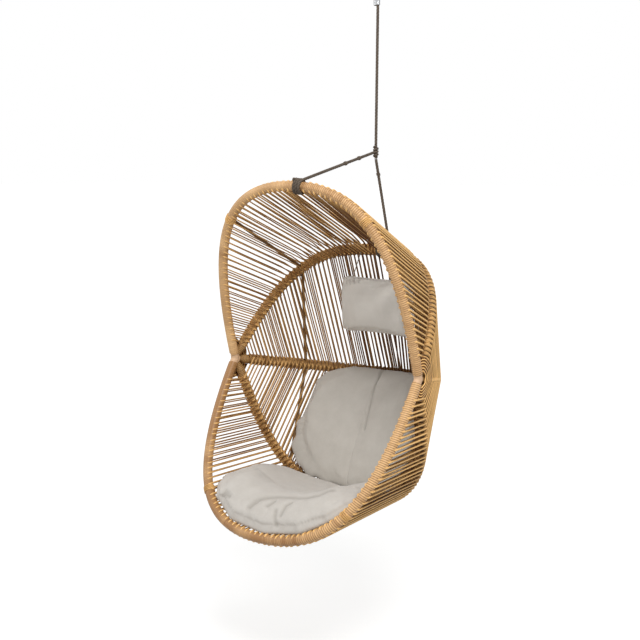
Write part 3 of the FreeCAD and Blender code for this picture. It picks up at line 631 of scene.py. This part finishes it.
def bind_arch(name, material, depth, tone_at, swell=None, seams=()):
    """The peel round one pole. Its rows follow the winding, so the grooves stay sharp.
    depth gives the depth of the furrows between turns at X, which also sets their painted shade, tone_at
    the tone by X and distance, swell a height, a painted shadow and painted light by distance and angle,
    seams the X where one peel ends and the next begins."""
    arch = bound_arches.get(name, arches[name])
    turns = int((arch.length - 2 * BARE_END) / PEEL_PITCH[name])
    pitch = (arch.length - 2 * BARE_END) / turns
    phase = np.concatenate([turn + np.array(PEEL_ROWS) for turn in range(-1, turns + 2)])
    columns = np.arange(PEEL_COLUMNS)
    lead = phase[:, None] + columns[None, :] / PEEL_COLUMNS
    distance = BARE_END + np.clip(lead, 0, turns) * pitch
    centre, way = arch.at(distance)
    angle = columns[None, :] / PEEL_COLUMNS * 2 * math.pi
    out = turned(angle, arch.normal, np.cross(way, arch.normal))
    part = phase - np.floor(phase)
    crown = (1 - np.abs(2 * part - 1) ** 2.6)[:, None]
    turn = np.clip(np.floor(phase).astype(int) + 1, 0, turns + 2)
    wide = chance.normal(0, 0.05, turns + 3)[turn][:, None]
    deep = depth(centre[..., 0])
    radius = BOUND_RADIUS - deep * (1 - crown) + wide * 0.6 * crown - 0.15
    # Painted shade in the furrows between turns, darker where they are deeper; the crown term of the tone
    # below is a faint painted highlight.
    groove = (1 - crown) ** 0.9 * np.clip(deep, 0.1, 1)
    # A swell brings painted light on the swellings and a painted shadow under the strands.
    light = 0.0
    if swell is not None:
        height, shade, light = swell(distance, angle)
        radius = radius + height
        groove = np.maximum(groove * (1 - 0.7 * light), shade)
    for x in seams:
        groove = np.maximum(groove, 0.9 * np.exp(-((distance - arch.distance_at_x(x)) / 2.4) ** 2))
    radius = np.where((lead < 0) | (lead > turns), POLE_RADIUS - 0.2, radius)
    spread = chance.normal(0, 1.0, turns + 3)[turn][:, None] * np.clip(deep / 6, 0.04, 0.13)
    tone = 0.6 + spread + 0.12 * (crown - 0.5) + tone_at(centre[..., 0], distance) + 0.5 * light
    grid = centre + out * radius[..., None]
    around = 2 * math.pi * BOUND_RADIUS / UV_STRETCH
    grids = [(grid, tone, groove, lead * pitch * UV_STRETCH, around, len(PEEL_ROWS))]
    add_piece(name + "_peel", grids, material, "chair", [name + "_binding"])


def make_pole(name):
    arch = arches[name]
    grids = [plain_tube(evenly(arch.points, 12.0), POLE_RADIUS, 24, arch.normal, 0.7)]
    add_piece(name + "_cane", grids, BARE_CANE, "chair", [name + "_pole"])


def ring_depth(x):
    """The front ring's turns stand out on its right side and are nearly smooth on its left."""
    return 0.25 + 0.95 * smooth_step(x, -60, 160)


def ring_tone(left, right):
    """Broad bands of lighter and darker peel, fainter where the turns stand out, over a tone
    that goes from left to right, painted light: lighter on the right, where the light falls."""
    marks = np.arange(0, 2400, 46.0)
    values = chance.normal(0, 0.2, len(marks))

    def tone(x, distance):
        bands = np.interp(distance, marks, values) * (1 - 0.6 * smooth_step(x, -100, 200))
        return bands + left + (right - left) * smooth_step(x, 60, 260)
    return tone


def arch_depth(depth):
    return lambda x: np.full_like(x, depth)


def arch_tone(left, right):
    """Lighter on the left, darker on the right: painted shade."""
    return lambda x, distance: left + (right - left) * smooth_step(x, -280, 300)


def barrels(name):
    """Outside, the peel swells between the strands that loop over the arch. Its tone is raised on the
    swellings, painted light, and a painted shadow darkens it under the strands."""
    marks = [strand_distance(name, index / STRANDS) for index in range(STRANDS + 1)]

    def swell(distance, angle):
        share = np.interp(distance, marks, np.arange(STRANDS + 1)) % 1
        share = np.where(distance < marks[STRANDS // 2], 1 - share, share)
        bulge = np.sin(math.pi * np.clip(share / 0.82, 0, 1)) ** 0.5
        outside = np.clip(-1.5 * np.sin(angle) + 0.3, 0, 1)
        # under is a painted shadow below each swelling; the last value returned, outside * bulge, is
        # painted light on the swellings.
        under = smooth_step(share, 0.7, 0.84) * (1 - smooth_step(share, 0.97, 1.0))
        return (BARREL_HEIGHT * bulge - 1.2) * outside, under * outside, outside * bulge
    return swell


# The weave

STRANDS = 72
WEAVE_START = 64.0
STRAND_WIDTH = 4.4
SHORTEST = 62.0
SPLIT_SHARE = 0.53
ROPE_ROOM = 1.5
PANELS = {
    "hood": ("upper_ring", "upper_arch"),
    "upper_back": ("upper_arch", "waist"),
    "lower_back": ("waist", "lower_arch"),
    "seat": ("lower_arch", "lower_ring"),
}
OUTER_PHASES = {"hood": 0.0, "upper_back": 0.5, "lower_back": 0.0, "seat": 0.5}
WITHIN_CHAIR = (0, 45.66, 0)
CURL_STEPS = 9
STRAND_STEPS = 12
STRAND_COLUMNS = 10


def strand_distance(arch_name, share):
    """Where a share of the weave lies on a pole, with room left for the rope's lashing."""
    arch = arches[arch_name]
    start = WEAVE_START - arch.start
    end = arch.length - start
    split = (round(SPLIT_SHARE * STRANDS) + 0.25) / STRANDS
    room = 0.0
    middle = start + split * (end - start)
    if arch_name in LASHED:
        room = (2 * ROPE_RADIUS + 0.6) * LASHING_TURNS / 2 + ROPE_RADIUS + STRAND_WIDTH / 2 + ROPE_ROOM
        middle = arch.distance_at_x(LASHED[arch_name])
    if share < split:
        return start + (middle - room - start) * share / split
    return middle + room + (end - middle - room) * (share - split) / (1 - split)


def strand_frame(panel, share, outside):
    """The poles' centres under a strand, the poles' directions there, the strand's own, and the
    way from the poles to its layer's side."""
    first, second = PANELS[panel]
    c1, way1 = arches[first].at(strand_distance(first, share))
    c2, way2 = arches[second].at(strand_distance(second, share))
    along = unit(c2 - c1)
    normal = unit(np.cross(along, unit(way1 + way2)))
    if normal.dot((c1 + c2) / 2 - WITHIN_CHAIR) < 0:
        normal = -normal
    return c1, c2, way1, way2, along, normal if outside else -normal


def curl(centre, axis, normal, leaving, radius, angle, sink_from, sunk):
    """A strand's end goes on round the pole and sinks between the turns of the peel."""
    height = BOUND_RADIUS + min(radius, STRAND_SEAT) - sunk
    forward = leaving - axis * leaving.dot(axis)
    forward = unit(forward - normal * forward.dot(normal))
    normal = unit(normal - axis * normal.dot(axis))
    slope = np.clip(leaving.dot(axis) / max(0.2, leaving.dot(forward)), -1.1, 1.1)
    turn = np.linspace(0, math.radians(angle), CURL_STEPS + 1)[1:]
    last = turn[-1]
    aside = height * slope * (turn - turn ** 2 / (2 * last))
    share = turn / last
    low = height - smooth_step(share, sink_from, 1.0) * (2 * radius + 0.4 - sunk)
    return centre + turned(turn, normal, forward) * low[:, None] + aside[:, None] * axis


# Each pole's curls, for the outer and the inner layer: how many degrees they go round the pole,
# the share of that after which they sink, and how deep the strand sits in the peel
CURLS = {
    "ring": ((38.0, 0.0, 2.6), (50.0, 0.0, 2.8)),
    "arch": ((34.0, 0.1, 1.0), (150.0, 0.62, 0.0)),
    "waist": ((118.0, 0.6, 0.0), (150.0, 0.62, 0.0)),
}
BARREL_DIP = 21.0
STRAND_WIDTHS = {
    "hood": (0.86, 1.3), "upper_back": (0.93, 1.1), "lower_back": (1.0, 1.1), "seat": (1.0, 1.25),
}
STRAND_SEAT = 3.0
PALE_END = np.concatenate((np.ones(CURL_STEPS), (0.8, 0.35)))


def lay_strand(panel, share, outside):
    """One strand as a grid: its curled ends and the straight run between them. None where it
    would be too short."""
    first, second = PANELS[panel]
    share = share + chance.normal(0, 0.06) / STRANDS
    c1, c2, way1, way2, along, normal = strand_frame(panel, share, outside)
    length = np.linalg.norm(c2 - c1)
    if length < SHORTEST:
        return None
    middle_x = (c1 + c2)[0] / 2
    slim, broad = STRAND_WIDTHS[panel]
    width = slim + (broad - slim) * smooth_step(middle_x, -220, 60)
    radius = STRAND_WIDTH / 2 * chance.uniform(1.2, 1.36) * width
    lift = BOUND_RADIUS + min(radius, STRAND_SEAT)
    ends = [CURLS[pole.split("_")[-1]][0 if outside else 1] for pole in (first, second)]
    p1, p2 = c1 + normal * (lift - ends[0][2]), c2 + normal * (lift - ends[1][2])
    t = np.linspace(0, 1, STRAND_STEPS + 1)
    side = np.cross(along, normal)
    bow = chance.normal(0, 1.0) * min(1.0, length / 400)
    run = p1 + (p2 - p1) * t[:, None] + side * (np.sin(math.pi * t) * bow)[:, None]
    start = curl(c1, way1, normal, -along, radius, *ends[0])
    end = curl(c2, way2, normal, along, radius, *ends[1])
    if outside and panel == "hood":
        aside = (run - c2) - (run - c2).dot(way2)[:, None] * way2
        aside = np.linalg.norm(aside - aside.dot(normal)[:, None] * normal, axis=1)
        run = run - normal * (BARREL_DIP * smooth_step(aside, 62, 15))[:, None]
        end = end[:0]
    line = np.concatenate((start[::-1], run, end))
    grid = tube(line, radius, STRAND_COLUMNS, side)
    # Painted light and shade: the half of each strand that faces into the chair is darker, the outer
    # layer's outward half lighter, and strands grow darker towards the right.
    facing = ((grid - line[:, None]) / radius).dot(normal if outside else -normal)
    shade = 0.26 - 0.46 * smooth_step(middle_x, -260, 120)
    shade = shade + 0.4 * np.clip(facing, 0, 1) * outside
    tone = 0.42 + 0.42 * facing + shade + chance.normal(0, 0.1)
    pale = np.zeros(len(line))
    if first in RINGS:
        pale[:CURL_STEPS + 2] = PALE_END
    if second in RINGS:
        pale[-CURL_STEPS - 2:] = PALE_END[::-1]
    tone = tone + np.clip(0.85 - tone, 0, 1) * pale[:, None]
    marks = capped(travel(line))[:, None] + chance.uniform(0, 900)
    return closed(grid), capped(tone), 0.0, marks, 2 * math.pi * radius, 0


def layer_phase(panel, outside):
    """The outer and the inner layer lie half a space apart."""
    return OUTER_PHASES[panel] if outside else (OUTER_PHASES[panel] + 0.5) % 1


def make_weave():
    for panel in PANELS:
        for layer, outside in (("outer", True), ("inner", False)):
            phase = layer_phase(panel, outside)
            grids = [lay_strand(panel, (index + phase) / STRANDS, outside) for index in range(STRANDS)]
            name = "%s_%s" % (panel, layer)
            add_piece(name + "_weave", grids, STRAND_CANE, "chair", [name + "_strands"])


CROSSINGS = (
    ("hood", "upper_back", False), ("upper_back", "lower_back", False), ("lower_back", "seat", False),
    ("upper_back", "lower_back", True),
)
CROSSING_REACH = 12.0
CROSSING_RADIUS = 2.3


def lay_crossing(above, below, index, outside):
    """A strand that runs on over a pole, half a space aside, into the next panel's strand."""
    start = layer_phase(above, outside)
    step = (layer_phase(below, outside) - start) % 1
    a1, a2, *_, along_a, normal_a = strand_frame(above, (index + start) / STRANDS, outside)
    b1, b2, *_, along_b, normal_b = strand_frame(below, (index + start + step) / STRANDS, outside)
    if min(np.linalg.norm(a2 - a1), np.linalg.norm(b2 - b1)) < SHORTEST:
        return None
    lift = BOUND_RADIUS + CROSSING_RADIUS
    begin = a2 + normal_a * lift - along_a * CROSSING_REACH
    end = b1 + normal_b * lift + along_b * CROSSING_REACH
    t = np.linspace(0, 1, 9)[:, None]
    if outside:
        over = a2 + (b1 - a2) * t + unit(normal_a * (1 - t) + normal_b * t) * (lift - 0.2)
        line = np.concatenate((begin[None], over, end[None]))
    else:
        half = math.acos(np.clip(normal_a.dot(normal_b), -1, 1)) / 2
        corner = (a2 + b1) / 2 + unit(normal_a + normal_b) * lift / math.cos(half)
        line = begin * (1 - t) ** 2 + corner * 2 * t * (1 - t) + end * t ** 2
    # Painted light and shade: crossings are lighter than the strands, as highlights on the loops over the
    # pole, and darker to the right.
    tone = 0.85 + chance.normal(0, 0.09) - 0.3 * smooth_step((a2 + b1)[0] / 2, -200, 320)
    return plain_tube(line, CROSSING_RADIUS, 8, np.cross(along_a, normal_a), tone)


def make_crossings():
    for above, below, outside in CROSSINGS:
        grids = [lay_crossing(above, below, index, outside) for index in range(STRANDS)]
        name = "%s_to_%s_%s" % (above, below, "outer" if outside else "inner")
        add_piece(name, grids, STRAND_CANE, "chair")


SIDES = (("left", -1), ("right", 1))
TIE_TURNS = 4
TIE_WIDTH = 24.0
TIE_RADIUS = 1.5


def make_rib_ties():
    """Thin peel wound crosswise over the front ring where a rib meets it."""
    turn = np.linspace(0, 2 * math.pi * TIE_TURNS, 30 * TIE_TURNS)
    for arch_name in RINGS:
        arch = arches[arch_name]
        for name, side in SIDES:
            middle = arch.distance_at_x(side * RIB_ASIDE[arch_name])
            grids = []
            for hand in (-1, 1):
                share = turn / (2 * math.pi * TIE_TURNS) - 0.5
                spot, way = arch.at(middle + hand * share * TIE_WIDTH)
                out = turned(turn, arch.normal, np.cross(way, arch.normal))
                line = spot + out * (BOUND_RADIUS + 1.0 + 0.4 * hand)
                grids.append(plain_tube(line, TIE_RADIUS, 8, (1, 0, 0), 0.75))
            add_piece("%s_%s_tie" % (name, arch_name), grids, STRAND_CANE, "chair")


for name in arches:
    make_pole(name)
bind_arch("upper_ring", RING_CANE, ring_depth, ring_tone(-0.08, 0.1))
bind_arch("lower_ring", RING_CANE, ring_depth, ring_tone(-0.55, 0.3), seams=(-168.7,))
# The arches' tones are painted shade, the waist deep in the chair darkest.
bind_arch("upper_arch", ARCH_CANE, arch_depth(0.9), arch_tone(0.2, -0.1), barrels("upper_arch"))
bind_arch("waist", ARCH_CANE, arch_depth(0.7), arch_tone(-0.2, -0.55))
bind_arch("lower_arch", ARCH_CANE, arch_depth(0.9), arch_tone(0.0, -0.3), barrels("lower_arch"))
make_weave()
make_crossings()


# Ribs and the bent bar between the layers

RIB_RADIUS = 6.5
RIB_ASIDE = {
    "upper_ring": 299.0, "upper_arch": 278.0, "waist": 299.0, "lower_arch": 278.0, "lower_ring": 308.0,
}
RIB_JOINTS = 150.0
LUMBAR_RADIUS = 7.5
LUMBAR_SHARE = 0.56


def rib_point(arch_name, x):
    arch = arches[arch_name]
    return arch.at(arch.distance_at_x(x))[0]


def make_ribs():
    for name, side in SIDES:
        grids = []
        for poles in PANELS.values():
            a, b = (rib_point(pole, side * RIB_ASIDE[pole]) for pole in poles)
            way = unit(b - a)
            line = evenly(np.array((a + way * BOUND_RADIUS, b - way * BOUND_RADIUS)), 6.0)
            joints = np.abs((travel(line) / RIB_JOINTS + 0.3) % 1 - 0.5) * RIB_JOINTS
            radius = RIB_RADIUS - 0.5 + 0.5 * np.exp(-(joints / 4.0) ** 2)
            grids.append(plain_tube(line, radius, 16, (1, 0, 0), 0.5))
        add_piece(name + "_rib_cane", grids, RIB_CANE, "chair", [name + "_rib"])


def make_lumbar_bar():
    reach = RIB_ASIDE["lower_arch"] + 4.0
    line = []
    for x in np.linspace(-reach, reach, 60):
        a, b = rib_point("waist", x), rib_point("lower_arch", x)
        line.append(a + (b - a) * LUMBAR_SHARE)
    grids = [plain_tube(np.array(line), LUMBAR_RADIUS - 0.2, 20, (0, 0, 1), 0.5)]
    add_piece("lumbar_bar_cane", grids, RIB_CANE, "chair", ["lumbar_bar"])


make_ribs()
make_lumbar_bar()
make_rib_ties()


# Modifiers that are applied at once

def modify(piece, kind, **values):
    set_values(piece.modifiers.new(kind.lower(), kind), **values)


def apply_modifiers(piece):
    """Bake the piece's modifiers into its mesh."""
    graph = bpy.context.evaluated_depsgraph_get()
    mesh = bpy.data.meshes.new_from_object(piece.evaluated_get(graph))
    old = piece.data
    piece.modifiers.clear()
    piece.data = mesh
    bpy.data.meshes.remove(old)


def of_vertices(mesh, what):
    """What is co, for the vertices' places, or normal."""
    values = np.empty(len(mesh.vertices) * 3, np.float32)
    mesh.vertices.foreach_get(what, values)
    return values.reshape(-1, 3).astype(float)


def put_vertices(mesh, values):
    mesh.vertices.foreach_set("co", values.astype(np.float32).ravel())
    mesh.update()


def add_values(mesh, name, values):
    attribute = mesh.attributes.get(name) or mesh.attributes.new(name, "FLOAT", "POINT")
    attribute.data.foreach_set("value", values.astype(np.float32))


# Hubs: the bare knuckle where the front ring's two halves meet, with an arm to each pole

ARM_RADIUS = 8.5
ARMS = ("upper_arch", "waist", "lower_arch")
WRAP_RADIUS = 10.2
WRAP_MARKS = np.arange(16.0, 53.0, 0.65)
LOOP_REACHES = np.arange(28.0, 72.0, 4.8)
LOOP_RADIUS = 2.4
LOOP_HEIGHT = 15.8


def hub_centre(side):
    return np.array((side * HUB_HALF_WIDTH, 0.0, 0.0))


def pole_end(pole, side):
    return arches[pole].points[0 if side < 0 else -1]


def arm_swell(distance):
    """How much thicker a bound arm is towards its pole."""
    return 6.6 * smooth_step(distance, 22, 50)


def make_hubs():
    for name, side in SIDES:
        centre = hub_centre(side)
        ends = (pole_end("upper_ring", side), centre, pole_end("lower_ring", side))
        bend = evenly(np.array(ends), 3.0)
        swell = POLE_RADIUS + 1.5 * np.sin(np.linspace(0, math.pi, len(bend)))
        grids = [plain_tube(bend, swell, 24, (1, 0, 0))]
        for pole in ARMS:
            line = evenly(np.array((centre, pole_end(pole, side))), 4.0)
            radius = ARM_RADIUS + 5 * smooth_step(np.linspace(1, 0, len(line)), 0.4, 1.0)
            grids.append(plain_tube(line, radius, 20, (1, 0, 0)))
        name = name + "_hub"
        hub = add_piece(name + "_knuckle", grids, BARE_CANE, "chair", [name])
        modify(hub, "REMESH", mode="VOXEL", voxel_size=0.0014, use_smooth_shade=True)
        modify(hub, "SMOOTH", iterations=12)
        apply_modifiers(hub)
        add_values(hub.data, "tone", np.full(len(hub.data.vertices), 0.7))


def hub_loop(side, reach):
    """A strand looped round the hub, from behind one half of the ring to behind the other."""
    centre = hub_centre(side)
    outward = np.array((side, 0.0, 0.0))
    line, before = [], None
    for pole in ("upper_ring", *ARMS, "lower_ring"):
        way = unit(pole_end(pole, side) - centre)
        if before is not None:
            line.append(centre + unit(before + way) * reach * 1.12 + outward * 19.0)
        if pole in RINGS:
            line.append(centre + way * reach + (0.0, BOUND_RADIUS - 2.0, 0.0) + outward * 5.0)
        else:
            line.append(centre + way * reach + outward * (LOOP_HEIGHT + arm_swell(reach)))
        before = way
    return evenly(smooth_line("hub_loop_line", line), 4.0)


def make_hub_wraps():
    """Peel wound round the hub's arms, and strands looped past them on the outside."""
    for name, side in SIDES:
        grids = []
        for pole in ARMS:
            way = unit(pole_end(pole, side) - hub_centre(side))
            ridge = np.abs(np.sin(math.pi * WRAP_MARKS / PEEL_PITCH[pole])) ** 0.6
            radius = WRAP_RADIUS + arm_swell(WRAP_MARKS) + 0.9 * ridge
            line = hub_centre(side) + way * WRAP_MARKS[:, None]
            # Painted light on the ridges of the turns and painted shade between them.
            tone, groove = (0.3 + 0.3 * ridge)[:, None], 0.75 - 0.6 * capped(ridge)[:, None]
            grids.append(plain_tube(line, radius, 20, (1, 0, 0.01), tone, groove))
        add_piece(name + "_hub_wraps", grids, ARCH_CANE, "chair")
        loops = []
        for order, reach in enumerate(LOOP_REACHES):
            tone = -0.3 if order % 2 else 0.95
            loops.append(plain_tube(hub_loop(side, reach), LOOP_RADIUS, 8, (1, 0, 0.01), tone))
        add_piece(name + "_hub_loops", loops, STRAND_CANE, "chair")


make_hubs()
make_hub_wraps()


# Cushions

def panel_ways(panel, spots):
    """The way in from a panel's strands, and along them, beside each spot of the row frame."""
    x = spots[:, 0] / MM + HOOK_PLACE[0]
    frames = [strand_frame(panel, share, False) for share in np.linspace(0.02, 0.98, 49)]
    c1, c2, *_, along, normal = np.swapaxes(frames, 0, 1)
    middles = (c1 + c2)[:, 0] / 2
    return unit(look_up(x, middles, normal)), unit(look_up(x, middles, along))


def fill_out(spots, normals, panel, grow, edge, upper, lower):
    """Fill out a cushion that lies on a panel, in millimetres: its free sides by grow, the edge
    against the strands by edge, its upper and lower corners sideways by upper and lower."""
    inward, along = panel_ways(panel, spots)
    down = -np.sum(normals * inward, axis=1)
    beside = normals + inward * down[:, None]
    lateral = np.linalg.norm(beside, axis=1)
    beside = beside / np.maximum(lateral, 1e-6)[:, None]
    far = np.sum(beside * along, axis=1)
    diagonal = 4 * far ** 2 * (1 - far ** 2) * lateral ** 2
    amount = grow * smooth_step(-down, -0.6, 0.2) + edge * (2 * lateral * np.clip(down, 0, 1)) ** 2
    corner = diagonal * np.where(far > 0, lower, upper)
    return spots + (normals * amount[:, None] + beside * corner[:, None]) * MM


def soften(name, node, material, body, shrink, cap, panel, sizes):
    """A cushion from its CAD solid: remeshed, shrunk, blown up as cloth by no more than cap, and
    filled out. panel is where the cushion rests, sizes are what fill_out gives its sides."""
    cushion = new_object(name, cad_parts[node].data.copy())
    cushion.data.materials.clear()
    modify(cushion, "WELD", merge_threshold=0.0002)
    modify(cushion, "REMESH", mode="VOXEL", voxel_size=0.005, use_smooth_shade=True)
    modify(cushion, "SMOOTH", iterations=8)
    modify(cushion, "DISPLACE", strength=-shrink, mid_level=0.0)
    apply_modifiers(cushion)
    rest, normals = of_vertices(cushion.data, "co"), of_vertices(cushion.data, "normal")
    filled = fill_out(rest, normals, panel, *sizes)
    moved = blow_up(cushion) - rest
    reach = np.linalg.norm(moved, axis=1, keepdims=True)
    moved = moved * np.minimum(1, cap / np.maximum(reach, 1e-9))
    inward = panel_ways(panel, rest)[0]
    resting = smooth_step(-np.sum(normals * inward, axis=1), 0.3, 0.9)[:, None]
    filled = filled + moved * (1 - resting)
    put_vertices(cushion.data, filled)
    modify(cushion, "SUBSURF", levels=1)
    apply_modifiers(cushion)
    cushion.data.materials.append(material)
    finish_piece(cushion, body, [node])
    return cushion


CLOTH_FRAMES = 20


def blow_up(cushion):
    """Cloth under pressure, without gravity. Returns where the vertices went."""
    cloth = cushion.modifiers.new("cloth", "CLOTH")
    set_values(
        cloth.settings, quality=5, mass=0.3, tension_stiffness=18, compression_stiffness=18,
        shear_stiffness=8, bending_stiffness=0.4, use_pressure=True, uniform_pressure_force=4.0,
    )
    cloth.settings.effector_weights.gravity = 0.0
    set_values(cloth.point_cache, frame_start=1, frame_end=CLOTH_FRAMES)
    scene = bpy.context.scene
    for number in range(1, CLOTH_FRAMES + 1):
        scene.frame_set(number)
    graph = bpy.context.evaluated_depsgraph_get()
    blown = of_vertices(cushion.evaluated_get(graph).to_mesh(), "co")
    cushion.evaluated_get(graph).to_mesh_clear()
    cushion.modifiers.remove(cloth)
    scene.frame_set(1)
    return blown


FOLD_REACH = 0.05
RIM_CREASE_SHADE = 0.35
FOLD_CREASE_SHADE = 0.45


def sew(cushion, axis, depth, folds):
    """A seam round the cushion's rim, square to axis, and folds, whose lines are given by their
    depth and width. Both are sunk into the cushion and darkened with painted shade."""
    spots, normals = of_vertices(cushion.data, "co"), of_vertices(cushion.data, "normal")
    rim = np.exp(-(normals.dot(unit(np.asarray(axis, float))) / 0.09) ** 2)
    sunk, crease = rim * depth, rim * RIM_CREASE_SHADE
    for (deep, width), lines in folds.items():
        for line in lines:
            gap = np.full(len(spots), 1.0)
            for point in place(evenly(np.array(line, float), 3.0)):
                away = spots - point
                under = np.sum(away * normals, axis=1)
                aside = np.linalg.norm(away - under[:, None] * normals, axis=1)
                gap = np.minimum(gap, np.where(np.abs(under) < FOLD_REACH, aside, 1.0))
            amount = np.exp(-(gap / MM / width) ** 2)
            sunk = sunk + amount * deep
            crease = np.maximum(crease, amount ** 2 * FOLD_CREASE_SHADE)
    put_vertices(cushion.data, spots - normals * sunk[:, None] * MM)
    add_values(cushion.data, "crease", crease)


SEAT_FOLDS = {
    (4, 15): (
        (
            (-83, -309, -469), (-62, -279, -447), (-1, -242, -437),
            (88, -241, -427), (167, -230, -407), (200, -198, -390),
        ),
    ),
    (6, 11): (
        ((-83, -309, -469), (-66, -284, -450)),
        ((-15, -291, -458), (-2, -268, -447)),
        ((61, -313, -474), (62, -280, -448), (73, -267, -439)),
        ((56, -340, -502), (31, -303, -466)),
    ),
    (5, 10): (((-220, -270, -452), (-188, -296, -449)),),
}
BACK_FOLDS = {
    (5, 8): (((-10, 403, -56), (-4, 354, -110), (12, 306, -160), (20, 275, -201), (31, 234, -263)),),
}
HEAD_FOLDS = {
    (3, 4): (
        ((-86, 262, 301), (-75, 255, 283)),
        ((-65, 259, 302), (-53, 249, 281)),
        ((-45, 257, 303), (-32, 247, 286)),
        ((-20, 255, 305), (-14, 247, 290)),
    ),
}

seat = soften(
    "seat_pad", "seat_cushion", SEAT_FABRIC, "chair",
    shrink=0.002, cap=0.005, panel="seat", sizes=(7, 21, 4, 16),
)
back = soften(
    "back_pad", "back_cushion", BACK_FABRIC, "back_pad",
    shrink=0.002, cap=0.005, panel="lower_back", sizes=(8, 9, 14, 42),
)
head = soften(
    "head_pillow", "head_cushion", HEAD_FABRIC, "head_pad",
    shrink=0.003, cap=0.006, panel="upper_back", sizes=(3, 4, 0, -5),
)
sew(seat, (0, -0.35, 1), 1.2, SEAT_FOLDS)
sew(back, (0, -1, 0.35), 1.2, BACK_FOLDS)
sew(head, (0, -1, -0.3), 1.0, HEAD_FOLDS)


# Ties of the head cushion

CUSHION_TIES = (
    ("left", (-24.0, 273.05, 406.3), (-48.6, 263.4, 324.0)),
    ("right", (142.0, 263.4, 392.5), (160.0, 234.2, 324.0)),
)
STRING_RADIUS = 1.9


def make_ties():
    for name, top, foot in CUSHION_TIES:
        top, foot = np.array(top), np.array(foot)
        sag = (top + foot) / 2 + (0, -1.5, 0)
        line = smooth_line(name + "_tie_line", [top, sag, foot])
        grids = [laid_rope(line, (1, 0, 0), STRING_RADIUS, 9.0, 12, 2)]
        tie = add_piece(name + "_tie", grids, TIE_FIBRE, "head_pad", ["head_cushion_ties"])


make_ties()


# The steel fittings above the rope, about the hook's own axis

RING_MIDDLE = (57.0, 250.0, 1393.65)
HOOK_WIRE = 4.5
SHANK_LENGTH = 45.0
THREAD_PITCH = 3.2
THREAD_DEPTH = 1.1


def make_ring():
    bpy.ops.mesh.primitive_torus_add(
        major_radius=25 * MM, minor_radius=4 * MM, major_segments=72, minor_segments=20,
        location=tuple(place(RING_MIDDLE)), rotation=(0, math.pi / 2, 0),
    )
    ring = bpy.context.object
    ring.name = "hanging_ring_steel"
    ring.data.polygons.foreach_set("use_smooth", np.ones(len(ring.data.polygons), bool))
    ring.data.materials.append(STEEL)
    finish_piece(ring, "ring", ["hanging_ring"])


def arc(middle, radius, first, last):
    angles = np.radians(np.linspace(first, last, max(5, int(abs(last - first) / 7))))
    x, z = middle[0] + radius * np.cos(angles), middle[1] + radius * np.sin(angles)
    return np.stack((x, 0 * angles, z), axis=1)


def make_hook():
    """The hook's bent wire, a collar at the ceiling and the screw above it."""
    wire = np.concatenate((
        ((0, 0, 0),), arc((8, -39.2), 8, 180, 270), arc((9.5, -59.2), 12, 90, 0),
        arc((0, -68.7), 21.5, 0, -180), ((-21.5, 0, -66.7), (-21.5, 0, -65.2), (-21.5, 0, -64.2)),
    ))
    thick = np.full(len(wire), HOOK_WIRE)
    thick[-2:] = (3.9, 2.6)
    collar = np.array([(0, 0, z) for z in (-3.0, -2.6, -0.4, 0.0)])
    shank = np.array([(0, 0, z) for z in np.linspace(0, SHANK_LENGTH, 110)])
    height = shank[:, 2:]
    turn = height / THREAD_PITCH - np.arange(24)[None, :] / 24
    thread = HOOK_WIRE - THREAD_DEPTH * np.abs(2 * (turn - np.floor(turn)) - 1) ** 0.7 * (height > 5)
    thread = thread * np.clip((SHANK_LENGTH + 0.6 - height) / 9, 0.05, 1)
    grids = [
        plain_tube(wire + HOOK_PLACE, thick, 20, (0, 1, 0)),
        plain_tube(collar + HOOK_PLACE, np.array((10.4, 11.0, 11.0, 10.4)), 40, (1, 0, 0)),
        plain_tube(shank + HOOK_PLACE, thread, 24, (1, 0, 0)),
    ]
    add_piece("ceiling_hook_steel", grids, STEEL, "hook", ["ceiling_hook"])


make_ring()
make_hook()


# The floor, the light and the background

FLOOR_HEIGHT = -2.62
FLOOR_REACH = 120.0


def make_stage():
    """A white floor that glows less near the chair, so that the shadow on it shows."""
    mesh = bpy.data.meshes.new("floor")
    corners = [(x * FLOOR_REACH, y * FLOOR_REACH, 0) for x, y in ((-1, -1), (1, -1), (1, 1), (-1, 1))]
    mesh.from_pydata(corners, [], [(0, 1, 2, 3)])
    floor = new_object("floor", mesh)
    floor.location.z = FLOOR_HEIGHT
    finish = Finish("floor_white", 0.9, Specular_IOR_Level=0.0)
    grain = finish.noise(finish.coordinates(), 3.0)
    finish.colour(finish.mix(grain, linear((196, 196, 195)), linear((202, 202, 201))))
    away = finish.node("ShaderNodeVectorMath", operation="LENGTH", Vector=finish.coordinates())
    level = finish.spread(away.outputs["Value"], 1.5, 5.0, 0.6, 0.8)
    strength = finish.math("MULTIPLY", finish.seen(), level)
    glow = finish.node("ShaderNodeEmission", Color=(1, 1, 1, 1), Strength=strength)
    both = finish.node("ShaderNodeAddShader")
    finish.put(both.inputs[0], finish.shader.outputs["BSDF"])
    finish.put(both.inputs[1], glow.outputs["Emission"])
    finish.put(finish.tree.nodes["Material Output"].inputs["Surface"], both.outputs["Shader"])
    mesh.materials.append(finish.material)


def make_world():
    """A white background, whose light on the chair is about half as strong."""
    world = bpy.data.worlds.new("studio")
    bpy.context.scene.world = world
    world.use_nodes = True
    nodes = Nodes(world.node_tree)
    background = nodes.tree.nodes["Background"]
    nodes.put(background.inputs["Color"], (1, 1, 1, 1))
    nodes.put(background.inputs["Strength"], nodes.spread(nodes.seen(), 0.0, 1.0, 0.54, 1.0))


def make_lamp(name, spot, aim, width, watts):
    lamp = bpy.data.lights.new(name, "AREA")
    set_values(lamp, shape="DISK", size=width, energy=watts)
    holder = new_object(name, lamp)
    holder.location = spot
    look_along(holder, Vector(aim) - Vector(spot))


make_stage()
make_world()
make_lamp("key", (2.4, -2.8, 1.9), (0, 0, -1.5), 2.0, 170)
make_lamp("fill", (-3.0, -2.4, 0.4), (0, 0, -1.6), 2.6, 36)
